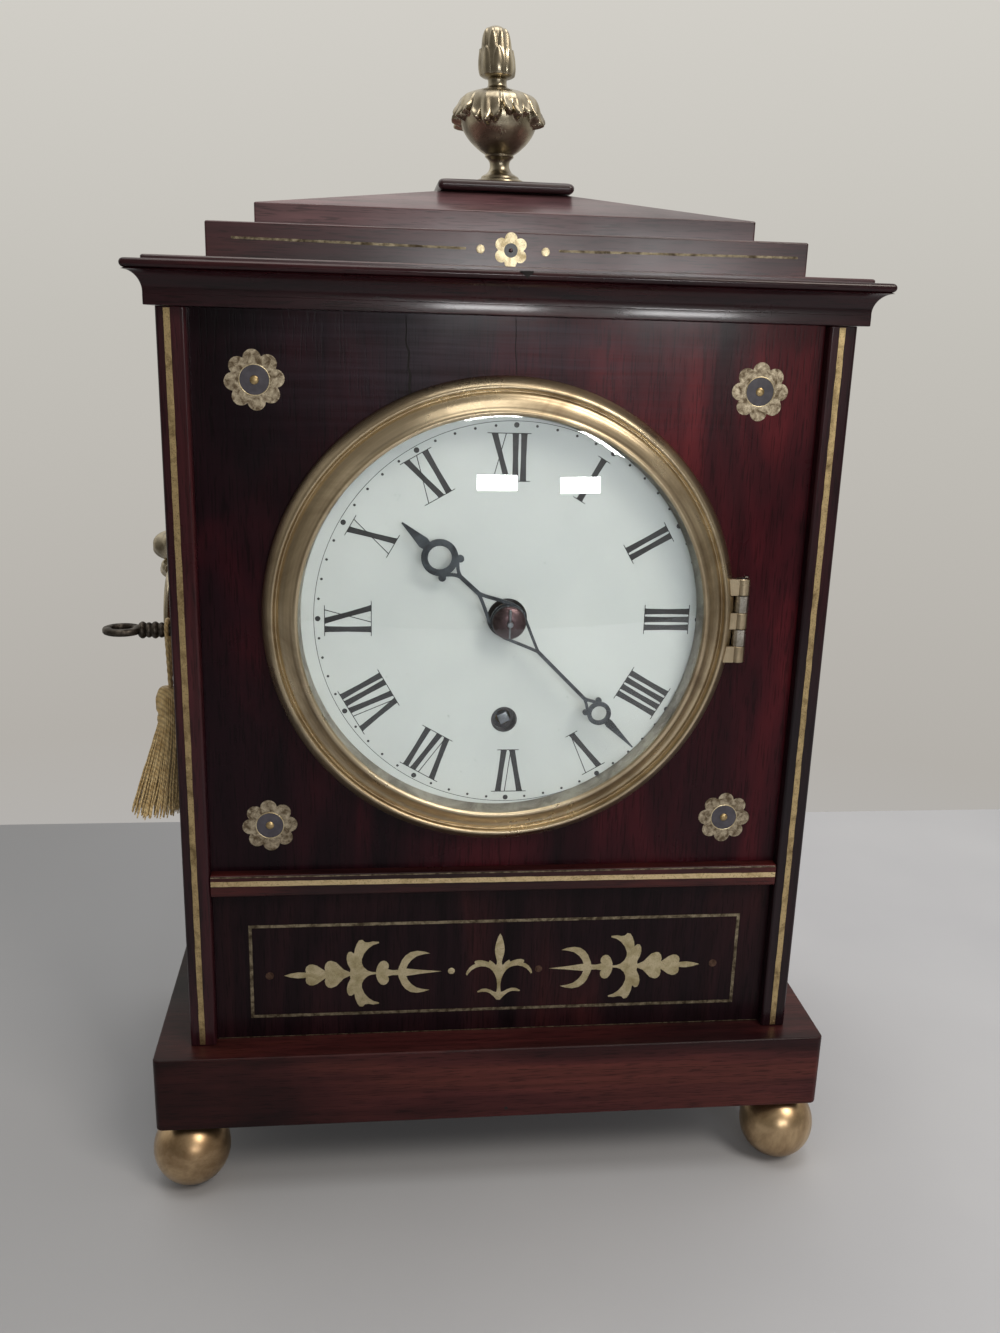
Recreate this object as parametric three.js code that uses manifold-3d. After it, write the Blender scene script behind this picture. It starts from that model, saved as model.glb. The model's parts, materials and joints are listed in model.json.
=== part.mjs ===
// A bracket timepiece with a fusee movement, in millimetres, +Z up and +Y towards the back.
// The case stands on four ball feet. Its front opening is closed by a hinged glazed bezel, which
// a lock in the left side holds shut. Behind the dial stands an eight day movement: a spring
// barrel pulls a gut line off a spiral cone, which drives a train of wheels and a short pendulum.
// Inside this file x is 0 on the middle of the case, y is 0 on the front of the posts, and z is 0
// on the shelf. The last group moves that point to the centre of the whole clock's footprint.

import * as THREE from 'three'
import { mergeVertices } from 'three/addons/utils/BufferGeometryUtils.js'
import Module from 'manifold-3d'

const wasm = await Module()
wasm.setup()

// Case

const caseWidth = 293
const caseDepth = 170
const footHeight = 37.2
const plinthHeight = 38.2
const postHeight = 339.4
const postSize = 12.1
const postEdge = 0.9
const plinthSideReach = 16.35
const plinthFrontReach = 11.65
const plinthCorner = 3
const panelThickness = 7
const frontRecess = 5.5
const sideRecess = 2
const railHeight = 10.9
const lowerPanelHeight = 77.7
const seatGap = 0.1
const runGap = 0.3
const overrun = 2

// Feet

const footRadius = 18.8
const footFlat = 0.3
const footInset = 14.5

// Cornice and stepped roof

const corniceHeight = 17.35
const corniceReach = 11.1
const fasciaReach = 3.9
const fasciaHeight = 4.5
const corniceLip = 3.6
const topBoardHeight = 1.8
const topBoardReach = 4
const stepInset = 18.5
const lowerStepHeight = 15
const upperStepHeight = 9.5
const roofRise = 9.8
const stepEdge = 1
const padWidth = 61.2
const padHeight = 4.7
const padNeckInset = 4.5
const finialHeight = 68
const finialLean = -3.8

// Round front: bezel, glass, dial and hands

const bezelShift = -2.4
const bezelHeadRoom = 24.55
const bezelFootRoom = 16.25
const bezelSideRoom = 27
const bezelLap = 8.8
const bezelWidth = 15.5
const dialInset = 12
const bezelSeatWidth = 8.6
const bezelProud = 11.4
const lipDepth = 0.9
const glassThickness = 1.6
const glassCrown = 7
const dialThickness = 1.5
const dialCentreHole = 9
const windingHole = 6
const windingDrop = 47.7
const handThickness = 1.1
const minuteAngle = 135
const hourAngle = 312.5

// Bezel hinge

const hingeLength = 39
const hingeRadius = 3.2
const hingePinRadius = 1.3
const hingeLeafThickness = 1.4
const hingeForward = 3.6

// Lock, key and tassel, in the left side

const keyDepth = 22
const keyHeight = 275.2
const keyShankRadius = 2.8
const keyReach = 35.1
const keyBowRadius = 8.5
const boltTravel = 7
const cordDiameter = 2
const tasselTop = 248.4
const tasselBottom = 187.7

// Side handles and frets

const handleHeight = 298
const handlePlateRadius = 16
const ringRadius = 25
const ringSection = 2.1
const ringPivotReach = 13.3
const ringPivotDrop = 7
const fretWidth = 68
const fretBottom = 100
const fretSpring = 190
const fretMargin = 5
const fretThickness = 1.2
const fretScale = 11.3

// Back door

const doorThickness = 7
const doorStile = 24
const doorPivotRadius = 1.8
const doorPivotLength = 4
const paneThickness = 2
const paneLap = 4
const turnHeight = 240

// Movement

const frontPlateY = 22
const plateThickness = 3
const plateSpacing = 50
const plateWidth = 134
const plateShift = -8
const plateDrop = 117.15
const plateRise = 67.75
const pillarRadius = 4
const seatBoardThickness = 10
const pivotRadius = 0.9
const barrelOffsetX = -45
const barrelOffsetZ = -36
const barrelRadius = 26
const fuseeLargeRadius = 24
const fuseeSmallRadius = 12
const fuseeTurns = 10
const groovePitch = 2.8
const grooveDepth = 1
const lineDiameter = 1.4
const turnsOnFusee = 4
const turnsOnBarrel = 4
const barrelPitch = 2
const winderSide = 4.5
const greatTeeth = 96
const centrePinion = 8
const centreTeeth = 84
const thirdPinion = 7
const thirdTeeth = 78
const escapePinion = 7
const escapeTeeth = 30
const escapeRadius = 14
const cannonTeeth = 40
const minutePinion = 6
const hourTeeth = 72
const thirdOffsetX = -20
const thirdDistance = 31.85
const escapeDistance = 25.5
const motionDistance = 24
const palletRise = 17.9
const palletArmRoot = 2.8
const palletArmEnd = 2.2
const pendulumLength = 203
const bobRadius = 22
const bobThickness = 12
const bobEdge = 0.8

// Heights and depths that follow

const halfWidth = caseWidth / 2
const plinthTop = footHeight + plinthHeight
const corniceBottom = plinthTop + postHeight
const roofBottom = corniceBottom + corniceHeight
const railBottom = plinthTop + lowerPanelHeight
const railTop = railBottom + railHeight
const innerHalf = halfWidth - postSize
const sideFace = halfWidth - sideRecess
const sideInner = sideFace - panelThickness
const panelBack = frontRecess + panelThickness
const roomAcross = innerHalf - Math.abs(bezelShift) - bezelSideRoom
const roomUpright = (corniceBottom - railTop - bezelHeadRoom - bezelFootRoom) / 2
const bezelRadius = Math.min(roomAcross, roomUpright)
const dialCentreHeight = railTop + bezelFootRoom + bezelRadius
const openingRadius = bezelRadius - bezelLap
const lipRadius = bezelRadius - bezelWidth
const dialRadius = bezelRadius - dialInset
const plateBottom = dialCentreHeight - plateDrop
const plateTop = dialCentreHeight + plateRise
const midDepth = caseDepth / 2
const backPlateY = frontPlateY + plateThickness + plateSpacing
const fuseeHeight = dialCentreHeight - windingDrop
const ringPivotHeight = handleHeight - ringPivotDrop

// Finishes

const finish = (color, roughness, metalness = 0) =>
  new THREE.MeshStandardMaterial({ color, roughness, metalness })
const mahogany = finish(0x35100c, 0.3)
const darkMahogany = finish(0x240b0b, 0.28)
const brass = finish(0xc9a15b, 0.25, 1)
const antiqueBrass = finish(0xa88c4e, 0.35, 1)
const silveredBrass = finish(0xb7ab8c, 0.35, 1)
const steel = finish(0x8a8f96, 0.3, 1)
const blueSteel = finish(0x2b3138, 0.35, 1)
const iron = finish(0x3a3735, 0.55, 1)
const bronze = finish(0x5f4038, 0.4, 1)
const enamel = finish(0xe6eeea, 0.35)
const gut = finish(0xc4a878, 0.6)
const silk = finish(0xcdb27c, 0.7)
const pine = finish(0x9a7448, 0.7)
const clear = new THREE.MeshStandardMaterial({
  color: 0xeef4f2, roughness: 0.03, metalness: 0, transparent: true, opacity: 0.2,
})

// Solids and meshes

function solidOf(geometry) {
  const bare = new THREE.BufferGeometry()
  bare.setAttribute('position', geometry.getAttribute('position'))
  if (geometry.index) bare.setIndex(geometry.index)
  const merged = mergeVertices(bare, 1e-5)
  const vertProperties = new Float32Array(merged.attributes.position.array)
  const corners = merged.index.array
  const triVerts = []
  for (let i = 0; i < corners.length; i += 3) {
    const [a, b, c] = [corners[i], corners[i + 1], corners[i + 2]]
    if (a !== b && b !== c && c !== a) triVerts.push(a, b, c)
  }
  return new wasm.Manifold(new wasm.Mesh({
    numProp: 3, vertProperties, triVerts: new Uint32Array(triVerts),
  }))
}

function geometryOf(solid) {
  const mesh = solid.getMesh()
  const positions = new Float32Array(mesh.numVert * 3)
  for (let i = 0; i < mesh.numVert; i++) {
    for (let k = 0; k < 3; k++) positions[i * 3 + k] = mesh.vertProperties[i * mesh.numProp + k]
  }
  const geometry = new THREE.BufferGeometry()
  geometry.setAttribute('position', new THREE.BufferAttribute(positions, 3))
  geometry.setIndex(new THREE.BufferAttribute(new Uint32Array(mesh.triVerts), 1))
  geometry.computeVertexNormals()
  return geometry
}

// Joins the first list of geometries into one, and cuts the second list out of it.
function carve(pieces, tools = []) {
  let solid = solidOf(pieces[0])
  for (const piece of pieces.slice(1)) solid = solid.add(solidOf(piece))
  for (const tool of tools) solid = solid.subtract(solidOf(tool))
  return geometryOf(solid)
}

function block(x0, x1, y0, y1, z0, z1) {
  const box = new THREE.BoxGeometry(x1 - x0, y1 - y0, z1 - z0)
  return box.translate((x0 + x1) / 2, (y0 + y1) / 2, (z0 + z1) / 2)
}

// An upright round bar.
function post(radius, x, y, z0, z1, segments = 16) {
  const bar = new THREE.CylinderGeometry(radius, radius, z1 - z0, segments).rotateX(Math.PI / 2)
  return bar.translate(x, y, (z0 + z1) / 2)
}

// A round bar that runs from side to side.
function sideBar(radius, x0, x1, y, z, segments = 16) {
  const bar = new THREE.CylinderGeometry(radius, radius, x1 - x0, segments).rotateZ(-Math.PI / 2)
  return bar.translate((x0 + x1) / 2, y, z)
}

// Pieces of the round front and of the movement are drawn as seen from the front: x to the
// right, y up and z towards the viewer, so a depth y of the clock is drawn at -y.
function plate(shape, front, back, curveSegments = 12) {
  const options = { depth: back - front, bevelEnabled: false, curveSegments }
  return new THREE.ExtrudeGeometry(shape, options).translate(0, 0, -back)
}

function rod(radius, front, back, segments = 12, x = 0, y = 0) {
  const bar = new THREE.CylinderGeometry(radius, radius, back - front, segments)
  return bar.rotateX(Math.PI / 2).translate(x, y, -(front + back) / 2)
}

// A turned body about the viewing axis, from a list of [radius, depth] pairs.
function turned(profile, segments = 24) {
  const points = profile.map(([radius, depth]) => new THREE.Vector2(radius, -depth))
  if (THREE.ShapeUtils.area(points) < 0) points.reverse()
  return new THREE.LatheGeometry(points, segments).rotateX(Math.PI / 2)
}

// A turned body about the upright axis, from a list of [radius, height] pairs.
function turnedUp(profile, segments = 24) {
  const points = profile.map(([radius, height]) => new THREE.Vector2(radius, height))
  return new THREE.LatheGeometry(points, segments).rotateX(Math.PI / 2)
}

function disc(radius) {
  const shape = new THREE.Shape()
  shape.absarc(0, 0, radius, 0, Math.PI * 2, false)
  return shape
}

function hole(radius, x = 0, y = 0) {
  const path = new THREE.Path()
  path.absarc(x, y, radius, 0, Math.PI * 2, true)
  return path
}

function rectangle(x0, x1, y0, y1) {
  const shape = new THREE.Shape()
  shape.moveTo(x0, y0)
  shape.lineTo(x1, y0)
  shape.lineTo(x1, y1)
  shape.lineTo(x0, y1)
  shape.closePath()
  return shape
}

function polygon(points) {
  return new THREE.Shape(points.map(([x, y]) => new THREE.Vector2(x, y)))
}

// A closed stack of rounded rectangles. Each level gives its half sizes, height and corner.
function stack(levels, cornerSteps = 0) {
  const perCorner = cornerSteps + 1
  const count = 4 * perCorner
  const positions = []
  for (const { halfX, halfY, z, corner = 0 } of levels) {
    for (let i = 0; i < count; i++) {
      const quarter = Math.floor(i / perCorner)
      const sweep = cornerSteps ? (i % perCorner) / cornerSteps : 1 / 2
      const angle = (quarter + sweep) * Math.PI / 2
      const signX = quarter === 0 || quarter === 3 ? 1 : -1
      const signY = quarter < 2 ? 1 : -1
      positions.push(
        signX * (halfX - corner) + corner * Math.cos(angle),
        signY * (halfY - corner) + corner * Math.sin(angle), z)
    }
  }
  const index = []
  for (let level = 0; level + 1 < levels.length; level++) {
    for (let i = 0; i < count; i++) {
      const a = level * count + i
      const b = level * count + (i + 1) % count
      index.push(a, b, b + count, a, b + count, a + count)
    }
  }
  const top = (levels.length - 1) * count
  for (let i = 1; i + 1 < count; i++) {
    index.push(0, i + 1, i)
    index.push(top, top + i, top + i + 1)
  }
  const geometry = new THREE.BufferGeometry()
  geometry.setAttribute('position', new THREE.Float32BufferAttribute(positions, 3))
  geometry.setIndex(index)
  return geometry
}

const clock = new THREE.Group()
const byName = {}

function addMesh(name, geometry, material, place = [0, 0, 0], turn = [0, 0, 0]) {
  if (!geometry.getAttribute('normal')) geometry.computeVertexNormals()
  const mesh = new THREE.Mesh(geometry, material)
  mesh.name = name
  mesh.position.set(...place)
  mesh.rotation.set(...turn)
  clock.add(mesh)
  byName[name] = mesh
  return mesh
}

// Adds a piece that is drawn as seen from the front, with its axis at x and z.
function addFacing(name, geometry, material, x, z) {
  return addMesh(name, geometry, material, [x, 0, z], [Math.PI / 2, 0, 0])
}

// Feet and plinth

function addFeet() {
  const centre = footRadius - footFlat
  const ball = new THREE.SphereGeometry(footRadius, 16, 9).rotateX(Math.PI / 2)
  ball.translate(0, 0, centre)
  const wide = footRadius + overrun
  const below = block(-wide, wide, -wide, wide, -wide, 0)
  const above = block(-wide, wide, -wide, wide, footHeight - seatGap, footHeight + wide)
  const foot = carve([ball], [below, above])
  const x = halfWidth + plinthSideReach - footInset
  const front = footInset - plinthFrontReach
  const places = {
    foot_front_left: [-x, front], foot_front_right: [x, front],
    foot_rear_left: [-x, caseDepth - front], foot_rear_right: [x, caseDepth - front],
  }
  for (const [name, [px, py]] of Object.entries(places)) {
    addMesh(name, foot.clone(), brass, [px, py, 0])
  }
}

function addPlinth() {
  const halfX = halfWidth + plinthSideReach
  const halfY = midDepth + plinthFrontReach
  const level = (inset, z) => ({ halfX: halfX - inset, halfY: halfY - inset, z, corner: plinthCorner })
  const soft = plinthCorner / 2
  const body = stack([
    level(soft / 2, 0),
    level(0, soft / 2),
    level(0, plinthHeight - soft),
    level(soft * 0.3, plinthHeight - soft * 0.3),
    level(soft, plinthHeight),
  ], 3)
  body.translate(0, midDepth, footHeight)
  const socket = post(doorPivotRadius + runGap, doorPivotX, doorPivotY,
    plinthTop - doorPivotLength, plinthTop + overrun)
  addMesh('plinth', carve([body], [socket]), mahogany)
}

// Posts, panels and rail

function addPosts() {
  const half = postSize / 2
  const length = postHeight - 2 * seatGap
  const level = (z, inset) => ({ halfX: half - inset, halfY: half - inset, z, corner: postEdge })
  const bar = () => stack([level(0, 0), level(length, 0)], 1)
  const x = halfWidth - half
  const places = {
    post_front_left: [-x, half], post_front_right: [x, half], post_rear_right: [x, caseDepth - half],
  }
  for (const [name, [px, py]] of Object.entries(places)) {
    addMesh(name, bar(), darkMahogany, [px, py, plinthTop + seatGap])
  }
  const mortise = block(half - turnReach, half + overrun,
    turnTongueY - caseDepth + half - runGap, turnTongueY - caseDepth + half + turnTongueThickness + runGap,
    turnHeight - plinthTop - turnTongueWidth, turnHeight - plinthTop + turnTongueLength)
  addMesh('post_rear_left', carve([bar()], [mortise]), darkMahogany,
    [-x, caseDepth - half, plinthTop + seatGap])
}

function addFrontPanels() {
  const half = innerHalf - seatGap
  const slab = block(-half, half, frontRecess, panelBack, railTop + seatGap, corniceBottom - seatGap)
  const opening = rod(openingRadius, frontRecess - overrun, panelBack + overrun, 48)
  opening.rotateX(Math.PI / 2).translate(bezelShift, 0, dialCentreHeight)
  const lugSlot = block(lugX - lugThickness / 2 - lugSwing, bezelShift - openingRadius / 2,
    frontRecess - overrun, panelBack + overrun, lugBottom - 2 * runGap, lugTop + 2 * runGap)
  const leafSlot = block(leafX - runGap, leafX + hingeLeafThickness + runGap,
    frontRecess - overrun, panelBack + overrun,
    dialCentreHeight - hingeLength / 2 - runGap, dialCentreHeight + hingeLength / 2 + runGap)
  addMesh('front_panel', carve([slab], [opening, lugSlot, leafSlot]), darkMahogany)
  addMesh('lower_panel',
    block(-half, half, frontRecess, panelBack, plinthTop + seatGap, railBottom - seatGap), darkMahogany)
}

function addRail() {
  const section = new THREE.Shape()
  const soft = railHeight / 8
  section.moveTo(postSize, 0)
  section.lineTo(postSize, railHeight)
  section.lineTo(soft, railHeight)
  section.quadraticCurveTo(0, railHeight, 0, railHeight - soft)
  section.lineTo(0, soft)
  section.quadraticCurveTo(0, 0, soft, 0)
  section.closePath()
  const length = 2 * (innerHalf - seatGap)
  const options = { depth: length, bevelEnabled: false, curveSegments: 2 }
  const rail = new THREE.ExtrudeGeometry(section, options)
  addMesh('front_rail', acrossSide(rail), mahogany, [-length / 2, 0, railBottom])
}

// Turns a side view, drawn with x towards the back and y up, to run along +X.
function acrossSide(geometry) {
  const turn = new THREE.Matrix4().makeBasis(
    new THREE.Vector3(0, 1, 0), new THREE.Vector3(0, 0, 1), new THREE.Vector3(1, 0, 0))
  return geometry.applyMatrix4(turn)
}

// The arched outline of a side opening, grown by a margin.
function archOutline(margin, Kind = THREE.Shape) {
  const outline = new Kind()
  const half = fretWidth / 2 + margin
  outline.moveTo(midDepth - half, fretBottom - margin)
  outline.lineTo(midDepth + half, fretBottom - margin)
  outline.absarc(midDepth, fretSpring, half, 0, Math.PI, false)
  outline.lineTo(midDepth - half, fretBottom - margin)
  return outline
}

function addSides() {
  const outline = rectangle(postSize + seatGap, caseDepth - postSize - seatGap,
    plinthTop + seatGap, corniceBottom - seatGap)
  outline.holes.push(archOutline(0, THREE.Path))
  const options = { depth: panelThickness, bevelEnabled: false, curveSegments: 10 }
  const right = acrossSide(new THREE.ExtrudeGeometry(outline, options))
  addMesh('side_panel_right', right, mahogany, [sideInner, 0, 0])
  const left = right.clone().translate(-sideFace, 0, 0)
  const keyHole = sideBar(keyShankRadius + runGap, -sideFace - overrun, -sideInner + overrun,
    keyDepth, keyHeight)
  addMesh('side_panel_left', carve([left], [keyHole]), mahogany)
}

// Fish scale frets behind the side openings

function scaleHole(cx, cy, radius, barShare) {
  const path = new THREE.Path()
  const points = []
  const arc = (ax, ay, from, to, steps) => {
    for (let i = 0; i < steps; i++) {
      const angle = from + (to - from) * i / steps
      points.push([ax + radius * Math.cos(angle), ay + radius * Math.sin(angle)])
    }
  }
  arc(0, 0, Math.PI, 2 * Math.PI, 3)
  arc(radius, radius, 1.5 * Math.PI, Math.PI, 2)
  arc(-radius, radius, 0, -0.5 * Math.PI, 2)
  points.reverse().forEach(([x, y], i) => {
    const px = cx + x * (1 - barShare)
    const py = cy + y * (1 - barShare)
    if (i) path.lineTo(px, py)
    else path.moveTo(px, py)
  })
  path.closePath()
  return path
}

function insideArch(x, y, reach) {
  const across = Math.abs(x - midDepth) + reach
  if (y - reach < fretBottom || across > fretWidth / 2) return false
  if (y + reach < fretSpring) return true
  return Math.hypot(across, y + reach - fretSpring) < fretWidth / 2
}

function addFrets() {
  const outline = archOutline(fretMargin)
  const barShare = 0.2
  const radius = fretScale
  const columns = Math.floor(fretWidth / radius / 2)
  const rows = Math.floor((fretSpring + fretWidth / 2 - fretBottom) / radius)
  for (let row = 0; row <= rows; row++) {
    const shift = row % 2 ? radius : 0
    for (let column = -columns; column <= columns; column++) {
      const x = midDepth + column * 2 * radius + shift
      const y = fretBottom + radius * (row + 1)
      const clear = insideArch(x, y, radius * (1 - barShare))
      if (clear) outline.holes.push(scaleHole(x, y, radius, barShare))
    }
  }
  const options = { depth: fretThickness, bevelEnabled: false, curveSegments: 10 }
  const fret = acrossSide(new THREE.ExtrudeGeometry(outline, options))
  addMesh('side_fret_right', fret, brass, [sideInner - seatGap - fretThickness, 0, 0])
  addMesh('side_fret_left', fret.clone(), brass, [-sideInner + seatGap, 0, 0])
}

// Cornice, roof steps, pad and finial

function addCornice() {
  const halfX = halfWidth
  const halfY = midDepth
  const level = (reach, z) => ({ halfX: halfX + reach, halfY: halfY + reach, z })
  const coveTop = corniceHeight - corniceLip
  const coveSteps = 6
  const levels = [level(fasciaReach, 0), level(fasciaReach, fasciaHeight)]
  const coveReach = corniceReach - fasciaReach - stepEdge / 2
  for (let i = 0; i <= coveSteps; i++) {
    const angle = i / coveSteps * Math.PI / 2
    levels.push(level(fasciaReach + coveReach * (1 - Math.cos(angle)),
      fasciaHeight + stepEdge / 2 + (coveTop - fasciaHeight - stepEdge / 2) * Math.sin(angle)))
  }
  levels.push(level(corniceReach, coveTop + stepEdge / 2))
  levels.push(level(corniceReach, corniceHeight - stepEdge))
  levels.push(level(corniceReach - stepEdge, corniceHeight))
  const body = stack(levels).translate(0, midDepth, corniceBottom)
  const socket = post(doorPivotRadius + runGap, doorPivotX, doorPivotY,
    corniceBottom - overrun, corniceBottom + doorPivotLength)
  addMesh('cornice', carve([body], [socket]), mahogany)
}

function addRoof() {
  const level = (inset, z) => ({ halfX: halfWidth - inset, halfY: midDepth - inset, z })
  const boardTop = topBoardHeight
  const lowerTop = boardTop + lowerStepHeight
  const lower = stack([
    level(-topBoardReach, seatGap), level(-topBoardReach, boardTop), level(stepInset, boardTop),
    level(stepInset, lowerTop - stepEdge), level(stepInset + stepEdge, lowerTop),
  ])
  addMesh('lower_roof_step', lower, mahogany, [0, midDepth, roofBottom])

  const neck = padWidth / 2 - padNeckInset
  const upper = stack([
    level(2 * stepInset, seatGap),
    level(2 * stepInset, upperStepHeight - stepEdge),
    level(2 * stepInset + stepEdge, upperStepHeight),
    { halfX: neck, halfY: neck, z: upperStepHeight + roofRise },
  ])
  addMesh('upper_roof_step', upper, mahogany, [0, midDepth, roofBottom + lowerTop])

  const padHalf = padWidth / 2
  const padLevel = (inset, z) => (
    { halfX: padHalf - inset, halfY: padHalf - inset, z, corner: padHeight / 2 })
  const soft = padHeight / 4
  const pad = stack([
    padLevel(soft, seatGap), padLevel(0, soft), padLevel(0, padHeight - soft), padLevel(soft, padHeight),
  ], 2)
  addMesh('finial_pad', pad, mahogany,
    [0, midDepth, roofBottom + lowerTop + upperStepHeight + roofRise])
}

// The finial is a lobed vase with a bud, bent a little to the left on its screw. Radii and heights
// are shares of its height.
function addFinial() {
  const profileShares = [
    [0, 0], [0.16, 0], [0.165, 0.02], [0.165, 0.04], [0.1, 0.075], [0.067, 0.13], [0.08, 0.18],
    [0.098, 0.2], [0.2, 0.28], [0.255, 0.355], [0.275, 0.45], [0.262, 0.54], [0.19, 0.6],
    [0.066, 0.635], [0.066, 0.675], [0.11, 0.69], [0.122, 0.75], [0.108, 0.86], [0.085, 0.95],
    [0.045, 0.99], [0, 1],
  ]
  const profile = profileShares.map(([radius, height]) => [radius * finialHeight, height * finialHeight])
  const lobes = 8
  const lobeShare = 0.05
  const bowlShares = [0.38, 0.6]
  const budShares = [0.7, 0.96]
  const body = turnedUp(profile, 24)
  const position = body.getAttribute('position')
  for (let i = 0; i < position.count; i++) {
    const [x, y, z] = [position.getX(i), position.getY(i), position.getZ(i)]
    const share = z / finialHeight
    const lobed = [bowlShares, budShares].some(([from, to]) => share > from && share < to)
    const swell = lobed ? 1 + lobeShare * Math.cos(lobes * Math.atan2(y, x)) : 1
    position.setX(i, x * swell + finialLean * share)
    position.setY(i, y * swell)
  }
  addMesh('finial', carve([body]), antiqueBrass, [0, midDepth, padTop + seatGap])
}

const padTop = roofBottom + topBoardHeight + lowerStepHeight + upperStepHeight + roofRise + padHeight

// Bezel and its hinge

const bezelSeat = frontRecess - seatGap
const bezelFront = bezelSeat - bezelProud
const hingeX = bezelShift + bezelRadius + hingeForward
const hingeY = bezelSeat - hingeRadius - runGap
const leafX = hingeX + hingeRadius - hingeLeafThickness
const knuckleLength = hingeLength / 5
const lugAboveKey = 3.6
const lugHeight = 14
const lugThickness = 2.5
const lugSwing = 4.6
const lugInset = 5.928208
const lugRoot = 3
const lugBottom = keyHeight + lugAboveKey
const lugTop = lugBottom + lugHeight
const lugOffset = Math.max(Math.abs(lugTop - dialCentreHeight), Math.abs(lugBottom - dialCentreHeight))
const lugX = bezelShift - Math.sqrt(bezelRadius ** 2 - lugOffset ** 2) + lugInset
const boltPlateDepth = 10.6
const lugPastBolt = 1
const boltPlateBack = keyDepth + boltPlateDepth
const lugReach = boltPlateBack + lugPastBolt
const hingeStrapReach = 5
const hingeStrapGap = 1

function knuckle(index, radius) {
  const bottom = dialCentreHeight - hingeLength / 2 + index * knuckleLength
  return post(radius, hingeX, hingeY, bottom + runGap / 2, bottom + knuckleLength - runGap / 2, 12)
}

function knuckleBlock(index, x0, x1, y0, y1) {
  const bottom = dialCentreHeight - hingeLength / 2 + index * knuckleLength
  return block(x0, x1, y0, y1, bottom + runGap / 2, bottom + knuckleLength - runGap / 2)
}

function addBezel() {
  const groove = bezelRadius - lipRadius
  const glassSeat = bezelFront + lipDepth
  const bead = groove * 0.22
  const profile = [
    [bezelRadius - bead / 2, bezelSeat],
    [bezelRadius, bezelSeat - bead],
    [bezelRadius - bead, bezelSeat - bezelProud * 0.62],
    [bezelRadius - bead * 1.8, bezelSeat - bezelProud * 0.62],
    [bezelRadius - groove * 0.5, bezelSeat - bezelProud * 0.58],
    [bezelRadius - groove * 0.68, bezelSeat - bezelProud * 0.66],
    [bezelRadius - groove * 0.82, bezelSeat - bezelProud * 0.86],
    [lipRadius + bead * 0.5, bezelFront],
    [lipRadius, bezelFront + bead * 0.3],
    [lipRadius, glassSeat],
    [glassRebate, glassSeat],
    [glassRebate, bezelSeat],
  ]
  profile.push(profile[0])
  const ring = turned(profile, 48)
  const front = []
  for (const index of [0, 2, 4]) {
    front.push(knuckle(index, hingeRadius))
    front.push(knuckleBlock(index,
      hingeX - hingeForward - hingeStrapReach, hingeX - hingePinRadius - hingeStrapGap,
      hingeY - hingeRadius * 0.7, hingeY + hingeRadius * 0.5))
  }
  const pinHole = post(hingePinRadius + runGap, hingeX, hingeY,
    dialCentreHeight - hingeLength, dialCentreHeight + hingeLength, 12)
  const lug = block(lugX - lugThickness / 2, lugX + lugThickness / 2, bezelSeat - lugRoot, lugReach,
    lugBottom, lugTop)
  const notch = block(lugX - lugThickness, lugX + lugThickness, fingerFront - runGap,
    fingerFront + fingerDepth + runGap,
    lugBottom - overrun, keyHeight + fingerHeight / 2 + boltTravel + runGap)
  const facing = ring.rotateX(Math.PI / 2).translate(bezelShift, 0, dialCentreHeight)
  addMesh('bezel', carve([facing, lug, ...front], [pinHole, notch]), brass)
}

const glassLap = 2.5
const glassRebate = lipRadius + glassLap
const fingerSetBack = 5
const fingerFront = keyDepth + fingerSetBack
const fingerDepth = 4.5
const fingerHeight = 4

function addBezelGlass() {
  const edge = glassRebate - runGap
  const front = bezelFront + lipDepth + runGap
  const steps = 2
  const profile = []
  for (let i = 0; i <= steps; i++) {
    const share = i / steps
    profile.push([(lipRadius - runGap) * share, front - glassCrown * (1 - share * share)])
  }
  profile.push([edge, front], [edge, front + glassThickness])
  for (let i = steps; i >= 0; i--) {
    const share = i / steps
    profile.push([(lipRadius - runGap) * share, front + glassThickness - glassCrown * (1 - share * share)])
  }
  addFacing('bezel_glass', turned(profile, 36), clear, bezelShift, dialCentreHeight)
}

function addHinge() {
  const bottom = dialCentreHeight - hingeLength / 2
  const tubes = []
  for (const index of [1, 3]) {
    tubes.push(knuckle(index, hingeRadius))
    tubes.push(knuckleBlock(index, leafX, leafX + hingeLeafThickness, hingeY, panelBack - runGap))
  }
  const leaf = block(leafX, leafX + hingeLeafThickness, hingeY + hingeRadius + runGap, panelBack - runGap,
    bottom, bottom + hingeLength)
  const pinHole = post(hingePinRadius + runGap, hingeX, hingeY,
    bottom - overrun, bottom + hingeLength + overrun, 12)
  addMesh('bezel_hinge_leaf', carve([leaf, ...tubes], [pinHole]), silveredBrass)
  addMesh('bezel_hinge_pin',
    post(hingePinRadius, hingeX, hingeY, bottom, bottom + hingeLength, 12), steel)
}

// Dial

function addDial() {
  const face = disc(dialRadius)
  face.holes.push(hole(dialCentreHole), hole(windingHole, 0, -windingDrop))
  const back = frontRecess + dialThickness
  const pieces = [plate(face, frontRecess, back, 18)]
  for (const side of [-1, 1]) {
    for (const share of [dialUpperFootShare, dialLowerFootShare]) {
      pieces.push(rod(dialFootRadius, back - dialThickness / 2, frontPlateY - seatGap, 8,
        side * dialFootAcrossShare * dialRadius, share * dialRadius))
    }
  }
  addFacing('dial', carve(pieces), enamel, 0, dialCentreHeight)
}

const dialFootAcrossShare = 48 / 93
const dialUpperFootShare = 46 / 93
const dialLowerFootShare = -56 / 93
const dialFootRadius = 2.5

// Hands

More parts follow.
